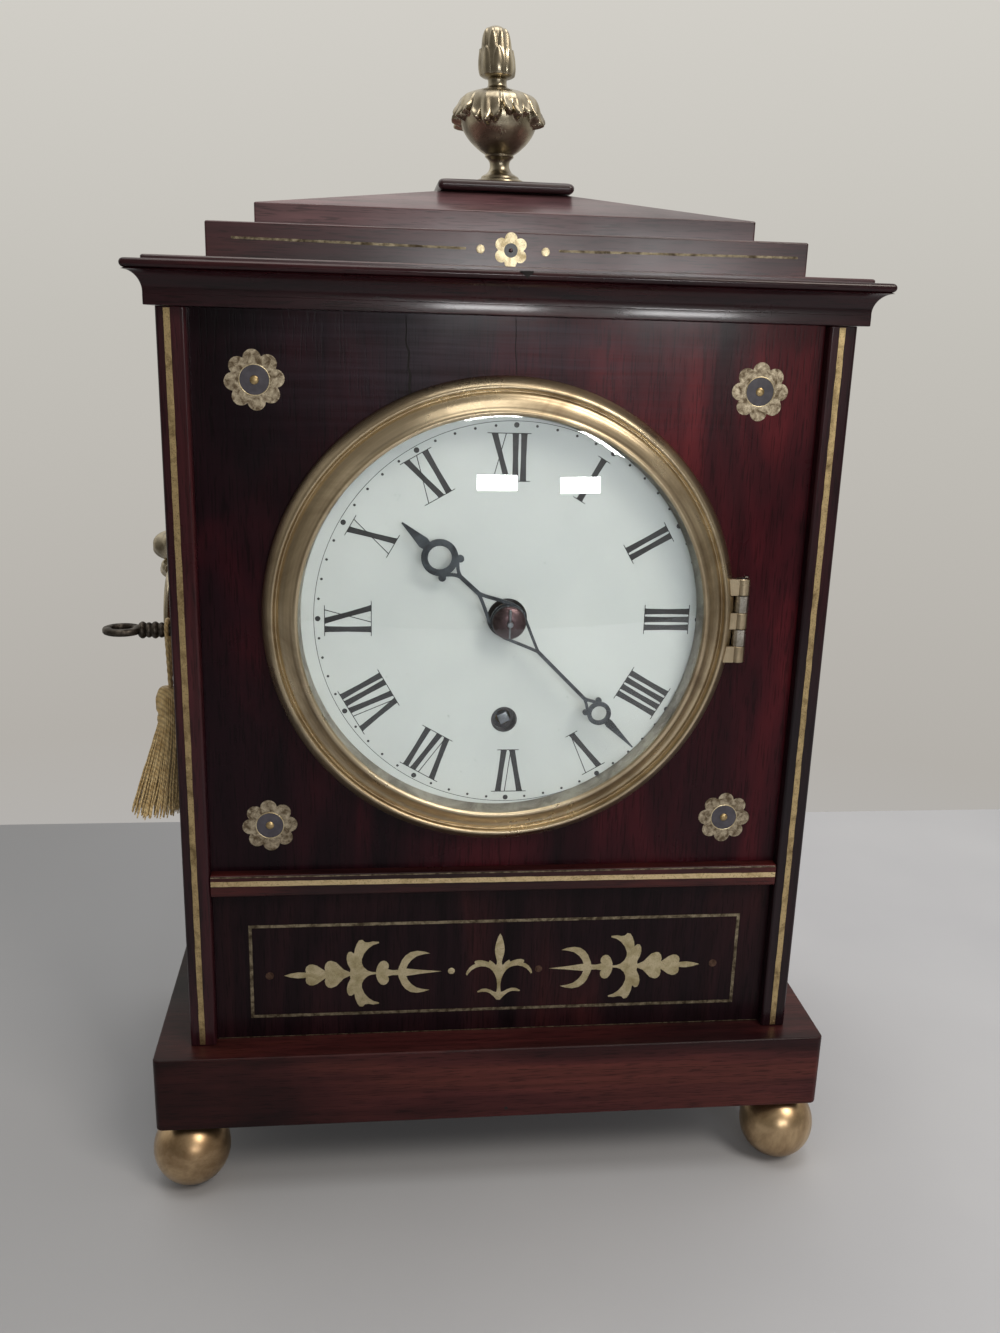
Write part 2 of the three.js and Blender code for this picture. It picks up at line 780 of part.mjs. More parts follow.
// A bar between two points, with a width at each end.
function bar(from, to, widthFrom, widthTo) {
  const length = Math.hypot(to[0] - from[0], to[1] - from[1])
  const nx = -(to[1] - from[1]) / length
  const ny = (to[0] - from[0]) / length
  return polygon([
    [from[0] - nx * widthFrom / 2, from[1] - ny * widthFrom / 2],
    [to[0] - nx * widthTo / 2, to[1] - ny * widthTo / 2],
    [to[0] + nx * widthTo / 2, to[1] + ny * widthTo / 2],
    [from[0] + nx * widthFrom / 2, from[1] + ny * widthFrom / 2],
  ])
}

// A hand, drawn pointing up: boss, forked arm, ring with two studs, and spike.
function handPiece(hand, front, back) {
  const studReach = hand.ring + hand.stud / 2
  const studX = studReach * Math.sin(hand.studTurn)
  const studY = hand.ringAt - studReach * Math.cos(hand.studTurn)
  const bossSide = hand.boss * bossSideShare
  const spikeRoot = hand.ringAt + (hand.ring + hand.ringHole) / 2
  const thin = hand.arm * forkWidthShare
  const pieces = [
    plate(disc(hand.boss), front, back, 8),
    plate(bar([0, hand.forkNear], [0, hand.forkFar], hand.arm, hand.arm), front, back),
    plate(bar([0, spikeRoot], [0, hand.tip], hand.spike, hand.point), front, back),
  ]
  for (const side of [-1, 1]) {
    const nearFork = bar([side * bossSide, hand.boss * bossRiseShare], [0, hand.forkNear + hand.arm],
      hand.arm * forkTipShare, thin)
    const farFork = bar([0, hand.forkFar - hand.arm],
      [side * hand.ring * ringSideShare, hand.ringAt - hand.ring * ringDropShare], thin, thin)
    pieces.push(plate(nearFork, front, back))
    pieces.push(plate(farFork, front, back))
    pieces.push(rod(hand.stud, front, back, 8, side * studX, studY))
  }
  pieces.push(rod(hand.ring, front, back, 16, 0, hand.ringAt))
  const tools = [
    rod(hand.ringHole, front - overrun, back + overrun, 14, 0, hand.ringAt),
    rod(hand.bore, front - overrun, back + overrun, 14),
  ]
  return carve(pieces, tools)
}

const bossSideShare = 0.86
const bossRiseShare = 0.4
const forkTipShare = 0.7
const forkWidthShare = 0.8
const ringSideShare = 0.62
const ringDropShare = 0.68
const hourHandStandOff = 6.1
const minuteHandStandOff = 8.7
const hourHandFront = frontRecess - hourHandStandOff
const minuteHandFront = frontRecess - minuteHandStandOff
const hourPipeRadius = 4.5
const cannonPipeRadius = 2.8
const centreArborRadius = 1.2
const hourBossRadius = 8
const minuteBossRadius = 7.6
const colletRadius = 7.4
const colletCrown = 3

// The lengths of a hand are shares of the dial's radius.
const hourShares = {
  forkNear: 16.5 / 93, forkFar: 31 / 93, arm: 1.9 / 93, ringAt: 41.7 / 93, ring: 8.1 / 93,
  ringHole: 5.2 / 93, stud: 1.7 / 93, spike: 4.2 / 93, point: 0.7 / 93, tip: 64 / 93,
}
const minuteShares = {
  forkNear: 17.5 / 93, forkFar: 51.5 / 93, arm: 1.6 / 93, ringAt: 59.9 / 93, ring: 5.5 / 93,
  ringHole: 3.5 / 93, stud: 1.4 / 93, spike: 3 / 93, point: 0.6 / 93, tip: 83 / 93,
}
const colletShares = [[1, 0], [7.2 / 7.4, 0.3], [5.6 / 7.4, 0.7], [3.2 / 7.4, 1]]

function handOf(shares, boss, bore) {
  const hand = { boss, bore, studTurn: THREE.MathUtils.degToRad(40) }
  for (const [part, share] of Object.entries(shares)) hand[part] = share * dialRadius
  return hand
}

function addHand(name, hand, front, angle) {
  const piece = handPiece(hand, front, front + handThickness)
  piece.rotateZ(-THREE.MathUtils.degToRad(angle))
  addFacing(name, piece, blueSteel, 0, dialCentreHeight)
}

function addHands() {
  addHand('hour_hand', handOf(hourShares, hourBossRadius, hourPipeRadius + runGap),
    hourHandFront, hourAngle)
  addHand('minute_hand', handOf(minuteShares, minuteBossRadius, cannonPipeRadius + runGap),
    minuteHandFront, minuteAngle)
  const rim = minuteHandFront - seatGap
  const bore = centreArborRadius + runGap
  const outside = colletShares.map(([out, up]) => [colletRadius * out, rim - colletCrown * up])
  const collet = turned([[bore, rim], ...outside, [bore, rim - colletCrown], [bore, rim]], 20)
  addFacing('hand_collet', collet, bronze, 0, dialCentreHeight)
}

// Wheels

// The outline of a wheel or pinion. Wheel teeth are pointed, so that they run clear in mesh.
function toothed(teeth, module, form) {
  const pitch = 2 * Math.PI / teeth
  const radius = module * teeth / 2
  const points = []
  const add = (r, angle) => points.push([r * Math.cos(angle), r * Math.sin(angle)])
  for (let k = 0; k < teeth; k++) {
    const middle = k * pitch
    if (form.rootShare < 1) add(radius - form.dedendum * module, middle - pitch * form.rootShare / 2)
    if (form.tipShare > 0) {
      add(radius + form.addendum * module, middle - pitch * form.tipShare / 2)
      add(radius + form.addendum * module, middle + pitch * form.tipShare / 2)
    } else add(radius + form.addendum * module, middle)
    add(radius - form.dedendum * module, middle + pitch * form.rootShare / 2)
  }
  return polygon(points)
}

const wheelForm = { addendum: 0.7, dedendum: 0.9, rootShare: 1, tipShare: 0 }
const pinionForm = { addendum: 0.5, dedendum: 1.3, rootShare: 0.32, tipShare: 0.18 }

// Cuts the openings between a wheel's arms.
function crossed(shape, arms, hub, rim, armWidth, steps = 3) {
  for (let arm = 0; arm < arms; arm++) {
    const from = arm / arms * 2 * Math.PI
    const to = (arm + 1) / arms * 2 * Math.PI
    const outerEdge = Math.asin(armWidth / 2 / rim)
    const innerEdge = Math.asin(armWidth / 2 / hub)
    const path = new THREE.Path()
    path.moveTo(rim * Math.cos(to - outerEdge), rim * Math.sin(to - outerEdge))
    for (let i = 1; i <= steps; i++) {
      const angle = to - outerEdge - (to - from - 2 * outerEdge) * i / steps
      path.lineTo(rim * Math.cos(angle), rim * Math.sin(angle))
    }
    path.lineTo(hub * Math.cos(from + innerEdge), hub * Math.sin(from + innerEdge))
    path.lineTo(hub * Math.cos(to - innerEdge), hub * Math.sin(to - innerEdge))
    path.closePath()
    shape.holes.push(path)
  }
  return shape
}

const greatModule = 2 * windingDrop / (greatTeeth + centrePinion)
const centreModule = 2 * thirdDistance / (centreTeeth + thirdPinion)
const thirdModule = 2 * escapeDistance / (thirdTeeth + escapePinion)
const cannonModule = 2 * motionDistance / (cannonTeeth + cannonTeeth)
const hourModule = 2 * motionDistance / (hourTeeth + minutePinion)
const thirdX = thirdOffsetX
const thirdZ = dialCentreHeight + Math.sqrt(thirdDistance ** 2 - thirdOffsetX ** 2)
const escapeZ = thirdZ + Math.sqrt(escapeDistance ** 2 - thirdOffsetX ** 2)
const palletZ = escapeZ + palletRise
const plateFrontIn = frontPlateY + plateThickness
const greatGap = 3
const centreWheelGap = 15
const thirdWheelGap = 25
const escapeWheelGap = 9
const greatY = plateFrontIn + greatGap
const greatThickness = 2.5
const wheelThickness = 1.5
const arborRadius = 1.3
const centreWheelY = backPlateY - centreWheelGap
const thirdWheelY = backPlateY - thirdWheelGap
const escapeWheelY = backPlateY - escapeWheelGap
const pinionReach = 3
const pivotHole = pivotRadius + runGap
const meshAngle = (x0, z0, x1, z1) => Math.atan2(z1 - z0, x1 - x0)

// Turns a wheel so that one gap, and not one tooth, lies at the angle.
const gapAt = (angle, teeth) => angle + Math.PI / teeth

// An arbor between the plates with its two pivots.
function arbor(radius = arborRadius) {
  return [
    rod(radius, plateFrontIn + runGap, backPlateY - runGap, 8),
    rod(pivotRadius, frontPlateY, backPlateY + plateThickness, 6),
  ]
}

function addTrain() {
  const up = Math.PI / 2
  const greatShape = crossed(toothed(greatTeeth, greatModule, wheelForm), 6,
    windingDrop * 0.24, windingDrop * 0.8, 4.5)
  greatShape.holes.push(hole(fuseeArborRadius + runGap))
  const great = plate(greatShape, greatY, greatY + greatThickness, 8)
  addFacing('great_wheel', great.rotateZ(up), brass, 0, fuseeHeight)

  const toThird = meshAngle(0, dialCentreHeight, thirdX, thirdZ)
  const centreShape = crossed(toothed(centreTeeth, centreModule, wheelForm), 5,
    thirdDistance * 0.2, thirdDistance * 0.78, 3)
  const centreWheel = plate(centreShape, centreWheelY, centreWheelY + wheelThickness)
  const centrePinionPiece = plate(toothed(centrePinion, greatModule, pinionForm),
    greatY - pinionReach / 2, greatY + greatThickness + pinionReach)
  const centre = carve([
    centreWheel.rotateZ(toThird),
    centrePinionPiece.rotateZ(gapAt(-up, centrePinion)),
    ...arbor(),
    rod(centreArborRadius, centreArborFront, plateFrontIn + runGap, 10),
  ])
  addFacing('centre_wheel', centre, brass, 0, dialCentreHeight)

  const toEscape = meshAngle(thirdX, thirdZ, 0, escapeZ)
  const thirdShape = crossed(toothed(thirdTeeth, thirdModule, wheelForm), 4,
    escapeDistance * 0.22, escapeDistance * 0.78, 2.6)
  const thirdWheel = plate(thirdShape, thirdWheelY, thirdWheelY + wheelThickness)
  const thirdPinionPiece = plate(toothed(thirdPinion, centreModule, pinionForm),
    centreWheelY - pinionReach, centreWheelY + wheelThickness + pinionReach)
  const third = carve([
    thirdWheel.rotateZ(toEscape),
    thirdPinionPiece.rotateZ(gapAt(toThird + Math.PI, thirdPinion)),
    ...arbor(1),
  ])
  addFacing('third_wheel', third, brass, thirdX, thirdZ)

  const escapeShape = crossed(ratchet(escapeTeeth, escapeRadius), 4,
    escapeRadius * 0.3, escapeRadius * 0.7, 1.6)
  const escapeWheel = plate(escapeShape, escapeWheelY, escapeWheelY + wheelThickness)
  const escapePinionPiece = plate(toothed(escapePinion, thirdModule, pinionForm),
    thirdWheelY - pinionReach, thirdWheelY + wheelThickness + pinionReach)
  const escape = carve([
    escapeWheel, escapePinionPiece.rotateZ(gapAt(toEscape + Math.PI, escapePinion)), ...arbor(1),
  ])
  addFacing('escape_wheel', escape, brass, 0, escapeZ)
}

// Long slender teeth that lean forward, as an anchor escapement's wheel has.
function ratchet(teeth, radius) {
  const rootShare = 0.84
  const leanShare = 0.3
  const points = []
  for (let k = 0; k < teeth; k++) {
    const root = (k + 0.55) / teeth * 2 * Math.PI
    const tip = (k + leanShare) / teeth * 2 * Math.PI
    points.push([radius * Math.cos(tip), radius * Math.sin(tip)])
    points.push([radius * rootShare * Math.cos(root), radius * rootShare * Math.sin(root)])
  }
  return polygon(points)
}

// Motion work in front of the front plate

const cannonGap = 3.5
const hourWheelGap = 4
const arborPastHand = 5
const cannonY = frontPlateY - cannonGap
const hourWheelY = cannonY - hourWheelGap
const centreArborFront = minuteHandFront - arborPastHand
const minuteWheelX = motionDistance

function addMotionWork() {
  const cannonShape = toothed(cannonTeeth, cannonModule, wheelForm)
  const cannon = carve([
    plate(cannonShape, cannonY, cannonY + wheelThickness),
    rod(cannonPipeRadius, minuteHandFront + runGap, cannonY + wheelThickness + 1, 14),
  ], [rod(centreArborRadius + runGap, minuteHandFront - overrun, cannonY + 3 * overrun, 12)])
  addFacing('cannon_wheel', cannon, brass, 0, dialCentreHeight)

  const hourShape = toothed(hourTeeth, hourModule, wheelForm)
  const hourWheel = carve([
    plate(hourShape, hourWheelY, hourWheelY + wheelThickness),
    rod(hourPipeRadius, hourHandFront, hourWheelY + wheelThickness + 1, 16),
  ], [rod(cannonPipeRadius + runGap, hourHandFront - overrun, hourWheelY + 3 * overrun, 14)])
  addFacing('hour_wheel', hourWheel, brass, 0, dialCentreHeight)

  const minuteShape = toothed(cannonTeeth, cannonModule, wheelForm)
  const minuteWheel = carve([
    plate(minuteShape, cannonY, cannonY + wheelThickness).rotateZ(gapAt(Math.PI, cannonTeeth)),
    plate(toothed(minutePinion, hourModule, pinionForm), hourWheelY - 1, cannonY + 0.5)
      .rotateZ(gapAt(Math.PI, minutePinion)),
    rod(0.8, hourWheelY - 1.5, frontPlateY + plateThickness / 2, 8),
  ])
  addFacing('minute_wheel', minuteWheel, brass, minuteWheelX, dialCentreHeight)
}

// Fusee, barrel and line

const fuseeArborRadius = 3.3
const fuseeFront = greatY + greatThickness + runGap
const fuseeBase = 2
const barrelGapBack = 3
const coneFront = fuseeFront + fuseeBase
const coneLength = fuseeTurns * groovePitch
const coneBack = coneFront + coneLength + groovePitch
const barrelX = barrelOffsetX
const barrelZ = fuseeHeight + barrelOffsetZ
const barrelFront = coneFront
const barrelBack = backPlateY - barrelGapBack
const grooveSteps = 16
const lineSteps = 16
const lineSides = 5
const grooveMiddleShare = 0.42
const grooveEdgeShare = 0.84

// The cone's radius makes the falling pull of the spring even: its inverse grows steadily.
function coneRadius(turns) {
  const share = turns / fuseeTurns
  return 1 / ((1 - share) / fuseeLargeRadius + share / fuseeSmallRadius)
}

const lineLift = grooveDepth / 2
const fuseeLineRadius = coneRadius(turnsOnFusee) + lineLift
const barrelLineRadius = (barrelRadius + runGap + lineDiameter / 2) / Math.cos(Math.PI / lineSteps)
const spanLength = Math.hypot(barrelX, barrelZ - fuseeHeight)
const spanTurn = Math.atan2(barrelZ - fuseeHeight, barrelX)
const leaveAngle = spanTurn - Math.PI / 2 - Math.asin((barrelLineRadius - fuseeLineRadius) / spanLength)

// The cone with its spiral groove. Rows of points run round it along the groove, so one turn
// further on a row has moved down by a whole groove and joins the row that lies there.
function fuseeCone() {
  const rows = [[0, 0], [grooveMiddleShare, grooveDepth], [grooveEdgeShare, 0]]
  const perTurn = rows.length
  const lastRow = fuseeTurns * perTurn
  const positions = []
  const index = []
  const put = (radius, step, depth) => {
    const angle = leaveAngle + step / grooveSteps * 2 * Math.PI
    positions.push(radius * Math.cos(angle), radius * Math.sin(angle), -depth)
    return positions.length / 3 - 1
  }
  const grid = []
  for (let row = 0; row <= lastRow; row++) {
    const [share, sink] = rows[row % perTurn]
    grid.push([])
    for (let step = 0; step < grooveSteps; step++) {
      const turns = Math.floor(row / perTurn) + share + step / grooveSteps
      const radius = coneRadius(Math.min(turns, fuseeTurns)) - sink
      grid[row].push(put(radius, step, coneFront + turns * groovePitch))
    }
  }
  const end = grooveSteps - 1
  for (let row = 0; row < lastRow; row++) {
    for (let step = 0; step < end; step++) {
      const [a, b] = [grid[row][step], grid[row][step + 1]]
      const [c, d] = [grid[row + 1][step + 1], grid[row + 1][step]]
      index.push(a, b, c, a, c, d)
    }
    if (row + perTurn < lastRow) {
      const [a, b] = [grid[row][end], grid[row + perTurn][0]]
      const [c, d] = [grid[row + perTurn + 1][0], grid[row + 1][end]]
      index.push(a, b, c, a, c, d)
    }
  }
  const ringAt = (radius, depth) => [...Array(grooveSteps).keys()].map((step) => put(radius, step, depth))
  const front = ringAt(coneRadius(0), fuseeFront)
  const back = ringAt(coneRadius(fuseeTurns), coneBack + groovePitch)
  for (let step = 0; step < end; step++) {
    index.push(front[step], front[step + 1], grid[0][step + 1])
    index.push(front[step], grid[0][step + 1], grid[0][step])
    index.push(back[step], grid[lastRow][step], grid[lastRow][step + 1])
    index.push(back[step], grid[lastRow][step + 1], back[step + 1])
  }
  const startChain = [grid[0][end]]
  const endChain = [grid[lastRow][end]]
  for (let row = perTurn; row >= 0; row--) startChain.push(grid[row][0])
  for (let row = lastRow - 1; row >= lastRow - perTurn; row--) endChain.push(grid[row][end])
  endChain.push(grid[lastRow][0])
  index.push(front[end], front[0], startChain[startChain.length - 1])
  for (let i = 0; i + 1 < startChain.length; i++) {
    index.push(front[end], startChain[i + 1], startChain[i])
    index.push(back[end], endChain[i], endChain[i + 1])
  }
  index.push(back[end], endChain[endChain.length - 1], back[0])
  for (let step = 1; step < end; step++) {
    index.push(front[0], front[step + 1], front[step])
    index.push(back[0], back[step], back[step + 1])
  }
  const geometry = new THREE.BufferGeometry()
  geometry.setAttribute('position', new THREE.Float32BufferAttribute(positions, 3))
  geometry.setIndex(index.reverse())
  return geometry
}

// One unbroken tube through points, in a BufferGeometry.
function windingTube(points, radius, sides) {
  const positions = []
  const index = []
  const count = points.length
  points.forEach((point, i) => {
    const before = points[Math.max(i - 1, 0)]
    const after = points[Math.min(i + 1, count - 1)]
    const along = new THREE.Vector3().subVectors(after.point, before.point).normalize()
    const out = point.out.clone().addScaledVector(along, -point.out.dot(along)).normalize()
    const side = new THREE.Vector3().crossVectors(along, out)
    for (let k = 0; k < sides; k++) {
      const angle = k / sides * 2 * Math.PI
      const at = point.point.clone().addScaledVector(out, radius * Math.cos(angle))
      at.addScaledVector(side, radius * Math.sin(angle))
      positions.push(at.x, at.y, at.z)
    }
  })
  for (let i = 0; i + 1 < count; i++) {
    for (let k = 0; k < sides; k++) {
      const a = i * sides + k
      const b = i * sides + (k + 1) % sides
      index.push(a, b, b + sides, a, b + sides, a + sides)
    }
  }
  const last = (count - 1) * sides
  for (let k = 1; k + 1 < sides; k++) {
    index.push(0, k + 1, k)
    index.push(last, last + k, last + k + 1)
  }
  const geometry = new THREE.BufferGeometry()
  geometry.setAttribute('position', new THREE.Float32BufferAttribute(positions, 3))
  geometry.setIndex(index)
  return geometry
}

function leastGap(points, diameter, perLoop) {
  let least = Infinity
  for (let i = 0; i < points.length; i++) {
    for (let k = i + Math.floor(perLoop / 2); k < points.length; k++) {
      least = Math.min(least, points[i].point.distanceTo(points[k].point) - diameter)
    }
  }
  return least
}

// Points of a winding, from one step to another, where whole turns have lineSteps steps.
function coil(fromStep, toStep, placeAt) {
  const points = []
  for (let i = fromStep; i <= toStep; i++) {
    const { radius, angle, depth } = placeAt(i / lineSteps)
    const out = new THREE.Vector3(Math.cos(angle), Math.sin(angle), 0)
    points.push({ point: out.clone().multiplyScalar(radius).setZ(-depth), out })
  }
  return points
}

const grooveDepthAt = (turns) => coneFront + (turns + grooveMiddleShare) * groovePitch

function addFusee() {
  const cone = fuseeCone()
  const base = rod(fuseeLargeRadius + 2, fuseeFront, coneFront - groovePitch / 4, 24)
  const stopPiece = rod(fuseeSmallRadius + 1.5, coneBack, coneBack + groovePitch, 20)
  const square = plate(rectangle(-winderSide / 2, winderSide / 2, -winderSide / 2, winderSide / 2),
    winderFront, frontPlateY).rotateZ(0.45)
  const fusee = carve([
    cone, base, stopPiece, square,
    rod(fuseeArborRadius, frontPlateY - runGap, backPlateY - runGap, 10),
    rod(pivotRadius * 2, backPlateY - overrun, backPlateY + plateThickness, 10),
  ])
  addFacing('fusee', fusee, brass, 0, fuseeHeight)

  const onFusee = coil(0, turnsOnFusee * lineSteps + 1, (turns) => ({
    radius: coneRadius(turns + grooveMiddleShare) + lineLift,
    angle: leaveAngle + turns * 2 * Math.PI,
    depth: grooveDepthAt(turns),
  }))
  const fuseeGap = leastGap(onFusee, lineDiameter, lineSteps)
  addFacing('fusee_line', windingTube(onFusee, lineDiameter / 2, lineSides), gut, 0, fuseeHeight)

  const onBarrel = coil(-1, turnsOnBarrel * lineSteps, (turns) => ({
    radius: barrelLineRadius,
    angle: leaveAngle + turns * 2 * Math.PI,
    depth: grooveDepthAt(turnsOnFusee) + turns * barrelPitch,
  }))
  const barrelGap = leastGap(onBarrel, lineDiameter, lineSteps)
  addFacing('barrel_line', windingTube(onBarrel, lineDiameter / 2, lineSides), gut, barrelX, barrelZ)
  console.log(`line gaps ${fuseeGap.toFixed(2)} on the fusee and ${barrelGap.toFixed(2)} on the barrel`)
}

const winderSink = 2.5
const winderFront = frontRecess + winderSink

// The free run of line. It stops where it would meet the turning windings.
function addLineSpan() {
  const shy = (radius) => Math.sqrt((radius + lineDiameter + runGap) ** 2 - radius ** 2)
  const out = new THREE.Vector3(Math.cos(leaveAngle), Math.sin(leaveAngle), 0)
  const along = new THREE.Vector3(-out.y, out.x, 0)
  const depth = grooveDepthAt(turnsOnFusee)
  const length = Math.sqrt(spanLength ** 2 - (barrelLineRadius - fuseeLineRadius) ** 2)
  const start = out.clone().multiplyScalar(fuseeLineRadius).setZ(-depth)
  const points = []
  const steps = 3
  for (let i = 0; i <= steps; i++) {
    const from = shy(fuseeLineRadius)
    const to = length - shy(barrelLineRadius)
    points.push({ point: start.clone().addScaledVector(along, from + (to - from) * i / steps), out })
  }
  addFacing('line_span', windingTube(points, lineDiameter / 2, lineSides), gut, 0, fuseeHeight)
}

function addBarrel() {
  const flange = 1.5
  const barrel = turned([
    [0, barrelFront], [barrelRadius + flange, barrelFront], [barrelRadius + flange, barrelFront + flange],
    [barrelRadius, barrelFront + flange], [barrelRadius, barrelBack - flange],
    [barrelRadius + flange, barrelBack - flange], [barrelRadius + flange, barrelBack], [0, barrelBack],
  ], 24)
  const body = carve([barrel, ...arbor(3)])
  addFacing('spring_barrel', body, brass, barrelX, barrelZ)
}

// Plates, pillars, cock and seat board

const pillarInset = 9

function plateOutline() {
  const centreHeight = dialCentreHeight
  const left = plateShift - plateWidth / 2
  const shape = rectangle(left, left + plateWidth, plateBottom - centreHeight, plateTop - centreHeight)
  const pivots = [
    [barrelX, barrelZ, pivotHole],
    [thirdX, thirdZ, pivotHole],
    [0, escapeZ, pivotHole],
  ]
  for (const [x, z, radius] of pivots) shape.holes.push(hole(radius, x, z - centreHeight))
  return shape
}

function pillarPlaces() {
  const left = plateShift - plateWidth / 2 + pillarInset
  const right = plateShift + plateWidth / 2 - pillarInset
  const low = plateBottom + pillarInset - dialCentreHeight
  const high = plateTop - pillarInset - dialCentreHeight
  return [[left, low], [right, low], [left, high], [right, high]]
}

function addPlates() {
  const front = plateOutline()
  front.holes.push(hole(fuseeArborRadius + runGap, 0, -windingDrop))
  front.holes.push(hole(pivotHole, 0, palletZ - dialCentreHeight))
  front.holes.push(hole(centreArborRadius + runGap, 0, 0))
  front.holes.push(hole(pivotHole, minuteWheelX, 0))
  for (const [x, y] of pillarPlaces()) front.holes.push(hole(pillarRadius / 2 + runGap, x, y))
  addFacing('front_plate', plate(front, frontPlateY, plateFrontIn, 4), brass, 0, dialCentreHeight)

  const back = plateOutline()
  back.holes.push(hole(pivotRadius * 2 + runGap, 0, -windingDrop))
  back.holes.push(hole(pivotHole, 0, 0))
  back.holes.push(hole(palletBush, 0, palletZ - dialCentreHeight))
  const pieces = [plate(back, backPlateY, backPlateY + plateThickness, 4)]
  const waist = pillarRadius * 0.7
  const innerEnd = plateFrontIn + seatGap
  const collar = 5
  for (const [x, y] of pillarPlaces()) {
    const pillar = turned([
      [0, frontPlateY - 2], [pillarRadius / 2, frontPlateY - 2], [pillarRadius / 2, innerEnd],
      [pillarRadius, innerEnd], [pillarRadius, innerEnd + collar], [waist, innerEnd + 1.6 * collar],
      [waist, backPlateY - 1.6 * collar],
      [pillarRadius, backPlateY - collar], [pillarRadius, backPlateY + plateThickness / 2],
      [0, backPlateY + plateThickness / 2],
    ], 8)
    pieces.push(pillar.translate(x, y, 0))
  }
  addFacing('back_plate', carve(pieces), brass, 0, dialCentreHeight)

  const boardDepth = backPlateY + plateThickness - frontPlateY
  const board = block(-sideInner + seatGap, sideInner - seatGap,
    frontPlateY - 3, frontPlateY + boardDepth + 1,
    plateBottom - seatGap - seatBoardThickness, plateBottom - seatGap)
  const clearOfFret = frontPlateY + boardDepth + overrun
  const notches = [-1, 1].map((side) => block(
    side * sideInner - fretThickness - 2 * seatGap, side * sideInner + fretThickness + 2 * seatGap,
    midDepth - fretWidth / 2 - fretMargin - runGap, clearOfFret,
    plateBottom - 2 * seatBoardThickness, plateBottom + overrun))
  addMesh('seat_board', carve([board], notches), pine)
}

const palletBush = 4
const cockThickness = 4
const cockRise = 8.5
const cockShelf = palletZ + cockRise
const crutchGap = 1.2
const cheekGap = 3.2
const suspensionGap = 8
const crutchY = backPlateY + plateThickness + crutchGap
const cheekY = crutchY + cheekGap
const suspensionY = cheekY + suspensionGap
const springWidth = 6
const springThickness = 0.8

function addCock() {
  const back = suspensionY + springWidth / 2 + 2
  const shelf = block(-13, 13, backPlateY + plateThickness + seatGap, back,
    cockShelf, cockShelf + cockThickness)
  const cheek = block(-6, 6, cheekY, cheekY + 2.5, palletZ - 5, cockShelf + 1)
  const chops = block(-4, 4, suspensionY - springWidth / 2 - 1, back, palletZ, cockShelf + 1)
  const pivot = rod(pivotHole, cheekY - overrun, cheekY + 2 * overrun, 12)
  pivot.rotateX(Math.PI / 2).translate(0, 0, palletZ)
  addMesh('back_cock', carve([shelf, cheek, chops], [pivot]), brass)
}

// Anchor with its arbor, crutch and fork

const crutchLength = 44

function addAnchor() {
  const reach = escapeRadius * 0.86
  const nib = 2.2
  const clearRadius = escapeRadius + 1.3
  const arms = []
  const drop = palletZ - escapeZ
  for (const side of [-1, 1]) {
    const end = [side * reach, -drop + Math.sqrt(Math.max(clearRadius ** 2 - reach ** 2, 0)) + nib]
    const arm = bar([0, 0], end, palletArmRoot, palletArmEnd)
    arms.push(plate(arm, escapeWheelY, escapeWheelY + wheelThickness))
  }
  const prongGap = rodRadius + runGap
  const prongBack = suspensionY + rodRadius + 1
  const pieces = [
    ...arms,
    rod(2.6, escapeWheelY - 1, escapeWheelY + wheelThickness + 1, 14),
    rod(1, plateFrontIn + runGap, cheekY - runGap, 10),
    rod(pivotRadius, frontPlateY, cheekY + 2.5, 8),
    plate(rectangle(-1.2, 1.2, -crutchLength, 0), crutchY, crutchY + 1.6),
    plate(rectangle(-prongGap - 1.2, prongGap + 1.2, -crutchLength - 2, -crutchLength),
      crutchY, crutchY + 1.6),
  ]
  for (const side of [-1, 1]) {
    const inner = side * prongGap
    const outer = side * (prongGap + 1.2)
    const prong = rectangle(Math.min(inner, outer), Math.max(inner, outer),
      -crutchLength - 2, -crutchLength)
    pieces.push(plate(prong, crutchY, prongBack))
  }
  addFacing('pallet_anchor', carve(pieces), steel, 0, palletZ)
}

// Pendulum with a lens shaped bob and its rating nut

const rodRadius = 1.2

function addPendulum() {
  const bobHalf = bobThickness / 2
  const bob = turned([
    [0, suspensionY - bobHalf], [bobRadius * 0.6, suspensionY - bobHalf * 0.75],
    [bobRadius, suspensionY - bobEdge], [bobRadius, suspensionY + bobEdge],
    [bobRadius * 0.6, suspensionY + bobHalf * 0.75], [0, suspensionY + bobHalf],
  ], 24).translate(0, -pendulumLength, 0)
  const nutLength = 6
  const bottom = -pendulumLength - bobRadius - nutLength
  const spring = plate(rectangle(-springThickness / 2, springThickness / 2, -14, -runGap),
    suspensionY - springWidth / 2, suspensionY + springWidth / 2)
  const brassBlock = plate(rectangle(-2.5, 2.5, -20, -13),
    suspensionY - springWidth / 2, suspensionY + springWidth / 2)
  const shaft = new THREE.CylinderGeometry(rodRadius, rodRadius, -18 - bottom, 10)
  shaft.translate(0, (bottom - 18) / 2, -suspensionY)
  const nut = new THREE.CylinderGeometry(4, 4, 3, 12).translate(0, bottom + nutLength / 2, -suspensionY)
  addFacing('pendulum', carve([bob, spring, brassBlock, shaft, nut]), brass, 0, palletZ)
}

// Back door

const doorRecess = 1.5
const doorPivotInset = 0.4
const turnInset = 8.5
const doorFace = caseDepth - doorRecess
const doorPivotY = doorFace - doorThickness / 2
const doorPivotX = innerHalf - doorThickness / 2 - doorPivotInset
const doorBottom = plinthTop + 2 * runGap
const doorTop = corniceBottom - 2 * runGap
const doorLeft = -innerHalf + 2 * runGap
const turnX = doorLeft + turnInset
const turnTongueLength = 11.5
const turnTongueWidth = 5
const turnTongueThickness = 2
const turnTongueY = doorFace - doorThickness - runGap - turnTongueThickness
const turnReach = 6

